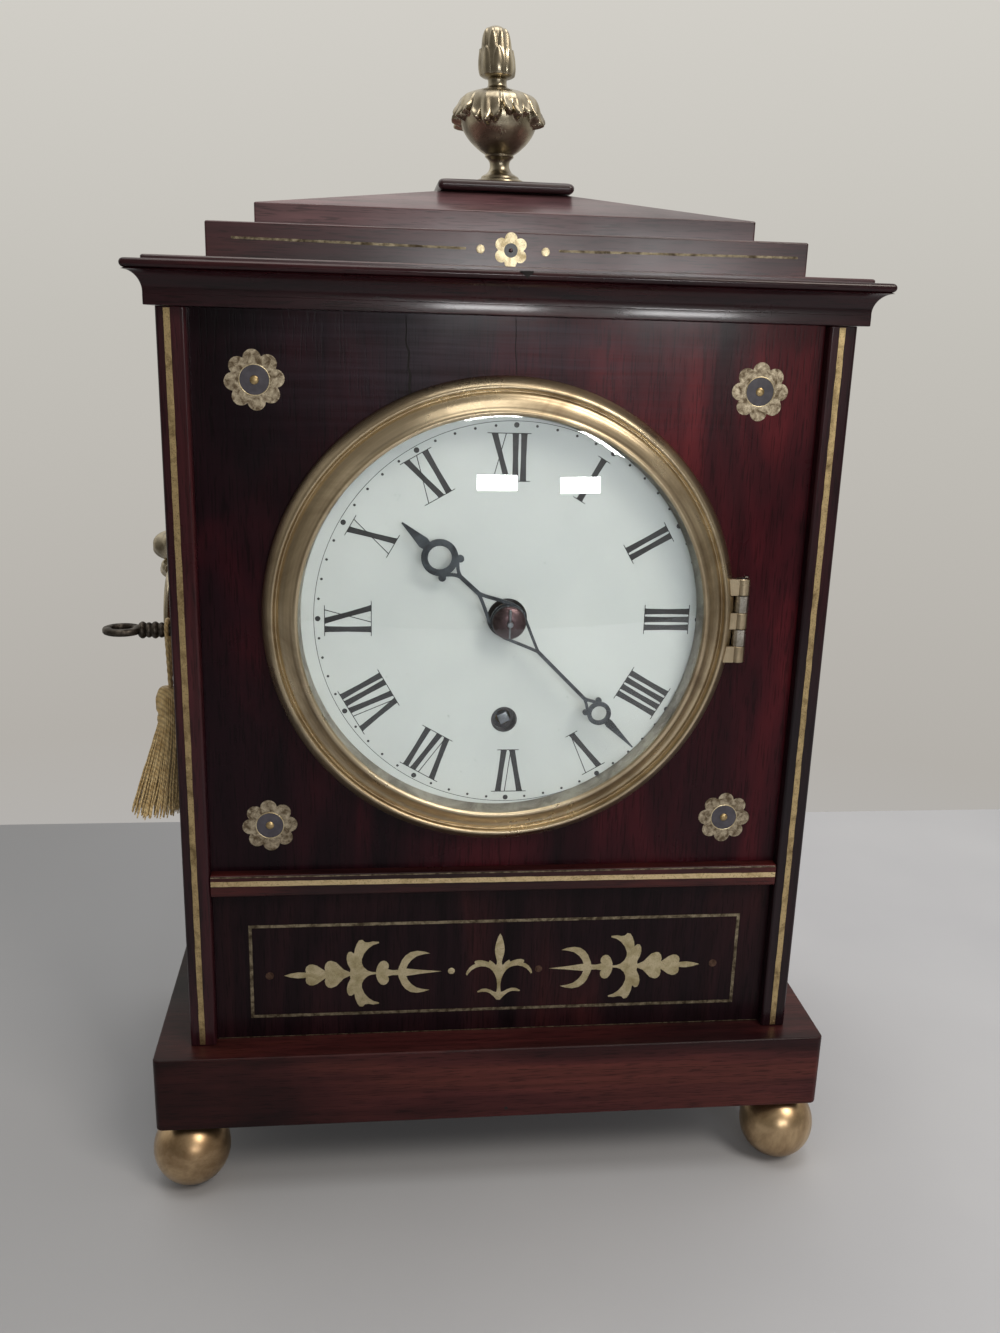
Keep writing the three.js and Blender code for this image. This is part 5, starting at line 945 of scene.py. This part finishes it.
def leaf_relief(angle, z):
    """Thickness of the draped leaves on the bowl at an angle and height."""
    sector = 2 * pi / LEAVES
    place = (angle - LEAF_TURN + sector / 2) / sector
    index = floor(place)
    s = (place - index) * 2 - 1
    lobes = abs(cos(1.5 * pi * s))
    edge = LEAF_TIPS[index % 2] + 4.6 * abs(s) ** 2.2 + 2.2 * (1 - lobes ** 0.7)
    if z < edge or z > LEAF_TOP:
        return 0
    above = z - edge
    rise = sqrt(min(above / 1.3, 1))
    lobe = 2.3 * lobes ** 0.6 * exp(-((above - 1.4) / 2.7) ** 2)
    groove = 0.6 * lobes ** 0.6 * (1 - eased(z, 29, 37))
    rib = 0.7 * exp(-(s / 0.2) ** 2) * (1 - eased(z, 37, 42))
    body = LEAF_BODIES[index % 2] * (1 - eased(z, 38.5, LEAF_TOP))
    gap = 1 - 0.9 * eased(abs(s), 0.8, 0.99)
    return rise * gap * (body + lobe + groove + rib)


def bud_relief(angle, z):
    """Thickness of the overlapping upright petals of the bud."""
    sector = 2 * pi / BUD_PETALS
    made = 0
    for shift, top, thick in PETAL_ROWS:
        place = (angle - LEAF_TURN) / sector + shift
        s = (place - floor(place)) * 2 - 1
        share = (z - BUD_FOOT) / (top - BUD_FOOT)
        if 0 <= share <= 1:
            half = 0.98 * sqrt(1 - share ** 4) + 0.02
            swell = sqrt(max(1 - (s / half) ** 2, 0))
            made = max(made, thick * swell * (0.85 + 0.3 * share))
    return made * eased(z, 46.1, 47.4)


def make_finial():
    rows = smooth_line(FINIAL_ROWS, 5)
    points = []
    for radius, z in rows:
        for angle in turns(FINIAL_STEPS):
            out = radius + leaf_relief(angle, z) + bud_relief(angle, z) * min(1, radius / 5)
            points.append((out * cos(angle) + FINIAL_LEAN * z / FINIAL_HEIGHT,
                           CASE_MIDDLE_Y + out * sin(angle), FINIAL_BASE + z))
    carved = points, grid(len(rows), FINIAL_STEPS)
    piece("finial_vase", carved, "antique_brass", stands_for="finial", sharp=60)


make_finial()


# Bezel, its knuckles and lug, the glass and the sight ring

HINGE_X, HINGE_Y, HINGE_LENGTH = 106.2, 1.9, 39
KNUCKLE = HINGE_LENGTH / 5
KNUCKLE_GAP = 0.15
KNUCKLE_RADIUS, KNUCKLE_EDGE, PIN_RADIUS = 3.2, 0.25, 1.6
KNUCKLE_ARM = (HINGE_X - 8.6, HINGE_X - 2.3, HINGE_Y - 2.2, HINGE_Y + 1.6)
BEZEL_ROWS = [
    (103.4, 5.4), (104.9, 5.1), (105.4, 4.2), (105.5, 3), (105.2, 1.9), (104.5, 0.9), (103.6, -0.1),
    (102.6, -1.1), (101.7, -1.8), (100.9, -2), (100.2, -1.5), (99.8, -0.6), (99.4, 0), (98.9, -0.2),
    (98.3, -0.8), (97.5, -1.3), (96.5, -1.7), (95.3, -2.5), (94.1, -3.5), (93, -4.5), (92.2, -5.3),
    (91.5, -5.8), (90.8, -6), (90.1, -5.85), (89.7, -5.5), (89.5, -5.15),
]
BEZEL_BACK = [(92, -5.1), (92, 5.4), (103.4, 5.4)]
SIGHT_ROWS = [(91.9, -3), (91.9, 5.2), (88.9, 5.2), (88.7, 4.7), (91.2, -3), (91.9, -3)]
# The lug's blocks stand round the notch for the bolt's finger
LUG_SIDES = (-102.45, -99.95)
LUG_FRONT, NOTCH_FRONT, NOTCH_BACK, LUG_BACK = 2.6, 26.7, 31.8, 33.6
LUG_LOW, NOTCH_TOP, LUG_HIGH = KEY_Z + 3.6, KEY_Z + 9.3, KEY_Z + 17.6
GLASS_EDGE, GLASS_LIP, GLASS_FRONT = 91.7, 89.2, -4.8
GLASS_CROWN, GLASS_THICKNESS = 7, 1.6


def make_bezel():
    forms = [turned(smooth_line(BEZEL_ROWS, 3) + BEZEL_BACK, 160, (BEZEL_X, 0, DIAL_Z))]
    for index in (0, 2, 4):
        low = DIAL_Z - HINGE_LENGTH / 2 + index * KNUCKLE + KNUCKLE_GAP
        high = low + KNUCKLE - 2 * KNUCKLE_GAP
        inner = KNUCKLE_RADIUS - KNUCKLE_EDGE
        rows = [(PIN_RADIUS, low), (inner, low), (KNUCKLE_RADIUS, low + KNUCKLE_EDGE),
                (KNUCKLE_RADIUS, high - KNUCKLE_EDGE), (inner, high), (PIN_RADIUS, high), (PIN_RADIUS, low)]
        forms += [turned(rows, 28, (HINGE_X, HINGE_Y, 0), "z"), block(*KNUCKLE_ARM, low, high)]
    for sizes in ((LUG_FRONT, NOTCH_FRONT, LUG_LOW, NOTCH_TOP), (NOTCH_BACK, LUG_BACK, LUG_LOW, NOTCH_TOP),
                  (LUG_FRONT, LUG_BACK, NOTCH_TOP, LUG_HIGH)):
        forms.append(block(*LUG_SIDES, *sizes))
    piece("bezel_ring", joined(*forms), "bezel_brass", "bezel_door", "bezel", sharp=40)
    piece("sight_ring", turned(SIGHT_ROWS, 128, (BEZEL_X, 0, DIAL_Z)), "sight_metal", "bezel_door", sharp=40)


def make_glass():
    shares = [i / 24 for i in range(25)]
    front = [(GLASS_LIP * share, GLASS_FRONT - GLASS_CROWN * (1 - share ** 2)) for share in shares]
    back = [(radius, y + GLASS_THICKNESS) for radius, y in reversed(front)]
    rim = [(GLASS_EDGE, GLASS_FRONT), (GLASS_EDGE, GLASS_FRONT + GLASS_THICKNESS)]
    piece("bezel_pane", turned(front + rim + back, 128, (BEZEL_X, 0, DIAL_Z)), "clear_glass", "bezel_door",
          "bezel_glass", sharp=50)


make_bezel()
make_glass()


# Dial with its dots, circle and numerals

DIAL_RADIUS = 93
DIAL_THICKNESS = 1.5
CENTRE_HOLE, WINDING_HOLE = 9, 6
DIAL_FEET = [(-48, 46), (48, 46), (-48, -56), (48, -56)]
DIAL_FOOT_ROWS = [(0, 6.2), (2.5, 6.2), (2.5, 21.9), (0, 21.9)]
MARK_LIFT, MARK_SINK = 0.05, 0.2
# Black sleeves with back flanges in the centre and winding holes: painted shade inside the holes.
SHADE_SLEEVE_LIP = PANEL_Y - 0.15
CENTRE_SHADE_SLEEVE = [(8.98, SHADE_SLEEVE_LIP), (8.98, 12), (5.2, 12), (5.2, 11.6), (8.5, 11.6), (8.5, SHADE_SLEEVE_LIP),
                 (8.98, SHADE_SLEEVE_LIP)]
WINDING_SHADE_SLEEVE = [(5.98, SHADE_SLEEVE_LIP), (5.98, 9.8), (3.5, 9.8), (3.5, 9.3), (5.3, 9.3), (5.3, SHADE_SLEEVE_LIP),
                  (5.98, SHADE_SLEEVE_LIP)]
NUMERALS = ["XII", "I", "II", "III", "IIII", "V", "VI", "VII", "VIII", "IX", "X", "XI"]
NUMERAL_LOW, NUMERAL_HIGH = 60.4, 81.2
LETTER_GAP = 3.7
V_LEAD, V_AFTER, V_FIRST = 3.4, 3.2, 4
V_TOP, V_FOOT, V_STEP = 7, 0.5, 6.4
X_FOOT, X_TOP, X_BACK, X_INNER, X_STEP = 6, 5.1, 0.5, 5.8, 5.4
THICK, THIN, SERIF = 2.7, 0.42, 0.36
SERIF_REACH = 1.75
# A stroke is a little narrower in its middle
WAIST = [(0, 1.12), (0.06, 1), (0.5, 0.86), (0.94, 1), (1, 1.12)]
DOT_RING = 85.4
DOT_RADIUS, HOUR_DOT_RADIUS = 0.6, 1.2
CIRCLE_RADIUS, CIRCLE_WIDTH = 87.25, 0.25
RING_X = 1.7
RING_Z = DIAL_Z - 0.5
NUMERAL_SHIFTS = [
    (-3, 0.8), (-1.8, 1.1), (-0.6, -0.5), (0.3, 0), (0.7, 0.4), (0.3, -1.7), (1.4, -1.4), (0, -2.2),
    (-0.9, -3.2), (-1.4, 0), (-0.3, 1.7), (-2.4, 1.4),
]


def numeral_strokes(text):
    """Strokes of a Roman numeral as (u at the top, u at the foot, width), with the numeral's width."""
    strokes = []
    outer, inner = 0, 0
    for index, letter in enumerate(text):
        gap = LETTER_GAP if index else 0
        if letter == "I":
            outer, inner = (max(outer + gap, inner + gap - 0.5), inner + gap) if index else (0, 0)
            if index and text[index - 1] == "I":
                inner = outer
            strokes.append((outer, inner, THICK))
        elif letter == "V":
            outer += gap
            inner = max(inner + V_LEAD, outer + V_AFTER) if index else V_FIRST
            strokes += [(outer, inner, THICK), (outer + V_TOP, inner + V_FOOT, THIN)]
            outer += V_STEP
        else:
            outer += gap
            strokes += [(outer, outer + X_FOOT, THICK), (outer + X_TOP, outer - X_BACK, THIN)]
            inner = outer + X_INNER
            outer += X_STEP
    return strokes, max(outer, inner)


def numeral_loops(hour, text):
    """Outlines of a numeral's strokes and of its two serifs."""
    strokes, width = numeral_strokes(text)
    turn = radians(hour * 30)
    shift_x, shift_z = NUMERAL_SHIFTS[hour]

    def place(u, v):
        across = u - width / 2
        out = NUMERAL_LOW + v * (NUMERAL_HIGH - NUMERAL_LOW)
        return (RING_X + shift_x + across * cos(turn) + out * sin(turn),
                RING_Z + shift_z - across * sin(turn) + out * cos(turn))

    loops = []
    for top, foot, thick in strokes:
        left, right = ([place(top + (foot - top) * t + side * thick * w / 2, 1 - t) for t, w in WAIST]
                       for side in (-1, 1))
        loops.append(left + right[::-1])
    rise = SERIF / (NUMERAL_HIGH - NUMERAL_LOW)
    for end, low, high in ((0, 1 - rise, 1), (1, 0, rise)):
        u0 = min(s[end] - s[2] / 2 for s in strokes) - SERIF_REACH
        u1 = max(s[end] + s[2] / 2 for s in strokes) + SERIF_REACH
        loops.append([place(u0, low), place(u1, low), place(u1, high), place(u0, high)])
    return loops


def make_dial():
    face = slab([circle(0, DIAL_Z, DIAL_RADIUS, 160), circle(0, DIAL_Z, CENTRE_HOLE, 48),
                 circle(0, WINDING_Z, WINDING_HOLE, 36)], PANEL_Y, PANEL_Y + DIAL_THICKNESS)
    feet = [turned(DIAL_FOOT_ROWS, 16, (x, 0, DIAL_Z + z)) for x, z in DIAL_FEET]
    piece("dial_face", joined(face, *feet), "dial_enamel", stands_for="dial", sharp=40)
    marks = []
    for minute, angle in enumerate(turns(60)):
        radius = DOT_RADIUS if minute % 5 else HOUR_DOT_RADIUS
        marks.append([circle(RING_X + DOT_RING * sin(angle), RING_Z + DOT_RING * cos(angle), radius, 16)])
    marks.append([circle(RING_X, RING_Z, CIRCLE_RADIUS, 160),
                  circle(RING_X, RING_Z, CIRCLE_RADIUS - CIRCLE_WIDTH, 160)[::-1]])
    for hour, text in enumerate(NUMERALS):
        marks += [[loop] for loop in numeral_loops(hour, text)]
    seated = [slab(loops, PANEL_Y - MARK_LIFT, PANEL_Y + MARK_SINK) for loops in marks]
    piece("dial_markings", joined(*seated), "dial_black", sharp=0)
    # Painted shade: black sleeves in the dial's holes.
    piece("centre_shade_sleeve", turned(CENTRE_SHADE_SLEEVE, 64, (0, 0, DIAL_Z)), "ebony_and_hole_shade", sharp=40)
    piece("winding_shade_sleeve", turned(WINDING_SHADE_SLEEVE, 48, (0, 0, WINDING_Z)), "ebony_and_hole_shade", sharp=40)


make_dial()


# Hands with their collet and pin

HOUR_HAND = dict(boss=8, fork_near=16.5, fork_far=31, arm=1.9, ring_at=41.7, ring=8.1, hole=5.2, stud=1.7,
                 spike=4.2, point=0.7, tip=64, bore=4.8, angle=312.5, front=-0.6)
MINUTE_HAND = dict(boss=7.6, fork_near=17.5, fork_far=51.5, arm=1.6, ring_at=59.9, ring=5.5, hole=3.5,
                   stud=1.4, spike=3, point=0.6, tip=83, bore=3.1, angle=135, front=-3.2)
HAND_THICKNESS = 1.1
STUD_ANGLE = radians(40)
COLLET_RIM = -3.3
COLLET_ROWS = [
    (1.5, 0), (7.2, 0), (7.4, -0.3), (7.3, -0.8), (6.6, -1.5), (5.2, -2.2), (3.4, -2.8), (2.2, -3),
    (1.5, -3), (1.5, 0),
]
ARBOR_END_ROWS = [(0, -8.35), (1.1, -8.3), (1.35, -8), (1.35, -6), (0, -6)]
PIN_ROWS = [(0, -6.2), (0.35, -6.2), (0.62, 6.4), (0, 6.4)]
PIN_Y = -7


def hand_form(boss, fork_near, fork_far, arm, ring_at, ring, hole, stud, spike, point, tip, bore, angle,
              front):
    """A hand's boss, arm with forked ends, ring with two studs, and spear. Each is a hair thinner
    than the last, so that no two faces lie in one plane."""
    turn = radians(angle)
    forms = []

    def plate(loops, lower=0):
        spun = [[(x * cos(turn) + z * sin(turn), DIAL_Z - x * sin(turn) + z * cos(turn)) for x, z in loop]
                for loop in loops]
        forms.append(slab(spun, front + lower, front + HAND_THICKNESS - lower))

    plate([circle(0, 0, boss, 48), circle(0, 0, bore, 32)])
    plate([circle(0, ring_at, ring, 48), circle(0, ring_at, hole, 36)])
    plate([stroke((0, fork_near - 0.4), (0, fork_far + 0.4), arm)], 0.02)
    root = ring_at + ring
    spear = [(spike / 2, root - 0.6), (spike * 0.62, root + 1.6), (spike * 0.4, root + (tip - root) * 0.45),
             (point / 2, tip)]
    plate([[(-x, z) for x, z in spear] + spear[::-1]], 0.03)
    for side in (-1, 1):
        near = smooth_line([(side * boss * 0.86, boss * 0.4), (side * boss * 0.62, boss * 0.98),
                            (side * arm * 0.9, fork_near - 2.2), (0, fork_near + arm)], 5)
        far = smooth_line([(0, fork_far - arm), (side * arm * 0.8, fork_far + 1.2),
                           (side * ring * 0.62, ring_at - ring * 0.72)], 5)
        for line in (near, far):
            for i, (a, b) in enumerate(zip(line, line[1:])):
                plate([stroke(a, b, arm * 0.8)], 0.04 + 0.002 * (i % 2))
        reach = ring + stud * 0.5
        plate([circle(side * reach * sin(STUD_ANGLE), ring_at - reach * cos(STUD_ANGLE), stud, 20)], 0.05)
    return joined(*forms)


def make_hands():
    for name, hand, body in (("hour_hand", HOUR_HAND, "hour_pipe"),
                             ("minute_hand", MINUTE_HAND, "centre_arbor")):
        piece(name + "_plate", hand_form(**hand), "blued_steel", body, name, sharp=30)
    collet = turned(COLLET_ROWS, 48, (0, COLLET_RIM, DIAL_Z))
    piece("collet_cap", collet, "bronze", "centre_arbor", "hand_collet", sharp=40)
    piece("arbor_end", turned(ARBOR_END_ROWS, 24, (0, 0, DIAL_Z)), "steel", "centre_arbor", sharp=40)
    piece("hand_pin", turned(PIN_ROWS, 16, (0, PIN_Y, DIAL_Z), "z"), "steel", "centre_arbor", sharp=40)


make_hands()


# Steel cap on the square of the winding arbor: shares of its half width, with their depths

CAP_ROWS = [(0.01, 7.2), (0.8, 7.2), (1, 7.4), (1, 11)]
CAP_HALF = 2.35
CAP_TURN = 0.45 + pi / 4


def make_winding_cap():
    points = []
    for share, y in CAP_ROWS:
        reach = share * CAP_HALF * sqrt(2)
        points += [(reach * cos(CAP_TURN + angle), y, WINDING_Z + reach * sin(CAP_TURN + angle))
                   for angle in turns(4)]
    piece("winding_cap", (points, grid(len(CAP_ROWS), 4)), "steel", "fusee", sharp=30)


make_winding_cap()


# Key

BOW_X, BOW_RADIUS, BOW_THICKNESS = -171.1, 8.5, 3.2
BOW_STEPS, BOW_SIDES = 64, 16
BOW_SQUARENESS = 0.7
COLLAR_FROM, COLLAR_TO = -163.6, -152.5
COLLAR_RIDGES = 4
SHANK_RADIUS, SHANK_END = 2.8, -121.4
BIT = (-130.8, -128.9, KEY_Y, KEY_Y + 6.3, KEY_Z - 1.5, KEY_Z + 1.5)


def make_key():
    points = []
    for angle in turns(BOW_STEPS):
        for turn in turns(BOW_SIDES):
            c, s = (copysign(abs(value) ** BOW_SQUARENESS, value) for value in (cos(turn), sin(turn)))
            out = BOW_RADIUS * (0.76 + 0.24 * c)
            points.append((BOW_X + 1.02 * out * cos(angle), KEY_Y + 0.9 * out * sin(angle),
                           KEY_Z + BOW_THICKNESS / 2 * s))
    bow = points, grid(BOW_STEPS, BOW_SIDES, ring=True)
    rows = [(0, COLLAR_FROM - 0.9), (2.2, COLLAR_FROM - 0.6)]
    step = (COLLAR_TO - COLLAR_FROM) / COLLAR_RIDGES
    for i in range(COLLAR_RIDGES):
        tall = 3.5 if i % 2 else 3.9
        rows += [(tall * (0.8 + 0.2 * sin(pi * j / 5)), COLLAR_FROM + step * (i + j / 5)) for j in range(6)]
    rows += [(SHANK_RADIUS, COLLAR_TO), (SHANK_RADIUS, SHANK_END - 0.4), (SHANK_RADIUS - 0.4, SHANK_END),
             (0, SHANK_END)]
    shank = turned(rows, 32, (0, KEY_Y, KEY_Z), "x")
    piece("key_iron", joined(bow, shank, block(*BIT)), "iron", "key", "key", sharp=40)


make_key()


# Ring handles on leafy mounts. Their places are a reach out from the side of the case, then y and z
# from the middle of the mount.

HANDLE_FACE, HANDLE_Z = 144.5, 298
PIVOT_OUT, PIVOT_Z, PIVOT_CLEAR = 13.3, -7, 3.1
RING_RADIUS, RING_SECTION = 25, 2.1
MOUNT_ROWS = [
    (0, 0.1), (15.6, 0.1), (16, 0.6), (15.8, 1.6), (14.8, 2.4), (13.6, 2.3), (12.8, 1.9), (12, 2.4),
    (10.6, 3.2), (9.4, 5), (8.8, 7), (7.4, 9.2), (4, 10.2), (0, 10.4),
]
# Half sizes of the two bosses, reach and height of their middles, and how many curls run round them
BOSSES = [((11, 8.8, 7.6), (11.7, 4.4), 7), ((5, 5.2, 5), (14.6, -7), 4)]
BOSS_REACH = 22.6


def ring_points():
    for angle in turns(96):
        thick = RING_SECTION * (0.86 + 0.14 * cos(angle - pi / 2) ** 2)
        for turn in turns(16):
            radius = RING_RADIUS + thick * cos(turn)
            yield (PIVOT_OUT + thick * sin(turn), radius * cos(angle),
                   PIVOT_Z - RING_RADIUS + radius * sin(angle))


def leafed_points(rows):
    for radius, along in rows:
        for angle in turns(144):
            scallop = radius
            if radius > 12.5 and along > 0.3:
                scallop *= 0.94 + 0.055 * abs(cos(6 * angle))
            elif 4 < radius <= 12.5:
                scallop *= 0.92 + 0.075 * abs(cos(4 * angle + along * 0.25))
            yield along, scallop * cos(angle), scallop * sin(angle)


def boss_points(rows, half, middle, curls):
    """A boss with curls, hollowed where the ring's pivot runs through it."""
    for i in range(rows + 1):
        tilt = pi * i / rows
        for turn in turns(56):
            swirl = 1 + 0.07 * sin(curls * turn + 4 * tilt) * sin(tilt)
            x = middle[0] + half[0] * swirl * sin(tilt) * cos(turn)
            y = half[1] * swirl * sin(tilt) * sin(turn)
            z = middle[1] + half[2] * swirl * cos(tilt)
            far = hypot(x - PIVOT_OUT, z - PIVOT_Z)
            if far < PIVOT_CLEAR:
                push = PIVOT_CLEAR / max(far, 0.01)
                x, z = PIVOT_OUT + (x - PIVOT_OUT) * push, PIVOT_Z + (z - PIVOT_Z) * push
            yield min(x, BOSS_REACH), y, z


def make_handles():
    rows = smooth_line(MOUNT_ROWS, 4)
    mount = [(list(leafed_points(rows)), grid(len(rows), 144))]
    mount += [(list(boss_points(28, *boss)), grid(29, 56)) for boss in BOSSES]
    ring = list(ring_points()), grid(96, 16, ring=True)
    for side, name in ((-1, "left"), (1, "right")):
        for piece_name, (points, faces), body, stands_for in (
                ("ring_" + name, ring, name + "_ring", "handle_ring_" + name),
                ("mount_" + name, joined(*mount), "case", "handle_mount_" + name)):
            placed = [(side * (HANDLE_FACE + x), CASE_MIDDLE_Y + y, HANDLE_Z + z) for x, y, z in points]
            piece(piece_name, (placed, faces), "antique_brass", body, stands_for, sharp=60)


make_handles()


# Finishes of the parts that keep their own shape: by slot, and by node where one differs

FINISHES = {"mahogany": "mahogany_z", "dark_mahogany": "dark_panel", "polished_brass": "fret_brass",
            "glass": "clear_glass"}
SPECIAL = {"lower_panel": "dark_lower", "key_escutcheon": "foot_brass", "back_door_turn": "foot_brass"}


def finish_parts():
    for part in frame["record"]["subparts"]:
        shown, slot = frame["nodes"][part["node"]], part["material_slot"]
        shown.data.materials.clear()
        shown.data.materials.append(looks[SPECIAL.get(part["node"], FINISHES.get(slot, slot))])


finish_parts()


# Floor, backdrop and light

FLOOR_BACK = 0.36
FLOOR_REACH = 1.2
# Colour of the painted shade on the left of the floor
FLOOR_PAINTED_SHADE = "#8f9093"
ROOM = "#8f8c88"


def make_stage():
    mesh = bpy.data.meshes.new("floor")
    corners = [(-1, -FLOOR_REACH), (1, -FLOOR_REACH), (1, FLOOR_BACK), (-1, FLOOR_BACK)]
    mesh.from_pydata([(side * FLOOR_REACH, y, 0) for side, y in corners], [], [(0, 1, 2, 3)])
    floor = bpy.data.objects.new("floor", mesh)
    scene.collection.objects.link(floor)
    tree, surface = shader("floor_cloth")
    weave = speckle(tree, 5, 4, 0.5)
    cloth = ramp(tree, weave, (0.3, "#b2b4ba"), (0.7, "#babcc1"))
    # The floor is painted darker towards the left: a painted shade.
    shade = between(tree, position(tree, "X"), 0, 1, -0.4, 0.25)
    feed(tree, surface, {
        "Base Color": blend_colours(tree, shade, FLOOR_PAINTED_SHADE, cloth), "Roughness": 0.75,
        "Normal": bump(tree, weave, 0.04, 0.01),
    })
    mesh.materials.append(looks["floor_cloth"])


def make_world():
    world = scene.world = bpy.data.worlds.new("studio")
    world.use_nodes = True
    tree = world.node_tree
    tree.nodes.clear()
    direction = node(tree, "SeparateXYZ", {0: node(tree, "TexCoord").outputs["Generated"]}).outputs
    shade = ramp(tree, between(tree, direction["Z"], 0, 1, -1, 1),
                 (0, "#a3a3a6"), (0.25, "#b4b3b3"), (0.34, "#b3afa9"), (0.5, "#c3c0b9"), (0.62, "#d2cfc8"),
                 (0.8, "#efece6"), (1, "#ffffff"))
    depth = between(tree, direction["Y"], 1, 0, -0.35, 0.25)
    shade = blend_colours(tree, depth, shade, ROOM, "MULTIPLY")
    sky = node(tree, "Background", {"Color": shade, "Strength": 1})
    node(tree, "OutputWorld", {"Surface": sky.outputs[0]})


def add_light(name, place, target, width, height, power, colour):
    data = bpy.data.lights.new(name, "AREA")
    data.shape = "RECTANGLE"
    data.size, data.size_y = width, height
    data.energy = power
    data.color = linear(colour)[:3]
    lamp = bpy.data.objects.new(name, data)
    scene.collection.objects.link(lamp)
    lamp.location = Vector(place)
    lamp.rotation_mode = "QUATERNION"
    lamp.rotation_quaternion = (Vector(target) - Vector(place)).to_track_quat("-Z", "Y")
    lamp.visible_camera = False


make_stage()
make_world()
add_light("key_light", (1.1, -1.5, 2.1), (0, 0, 0.25), 0.9, 0.9, 27, "#fff6ea")
add_light("top_light", (0, -0.2, 2.3), (0, 0, 0.3), 1.2, 1.2, 13, "#fffaf2")
add_light("lamp_left", at(97, -1199, 457), at(-8, -8, 347), 0.13, 0.05, 1.3, "#ffffff")
add_light("lamp_right", at(362, -1155, 448), at(28, -8, 347), 0.13, 0.05, 1.3, "#ffffff")
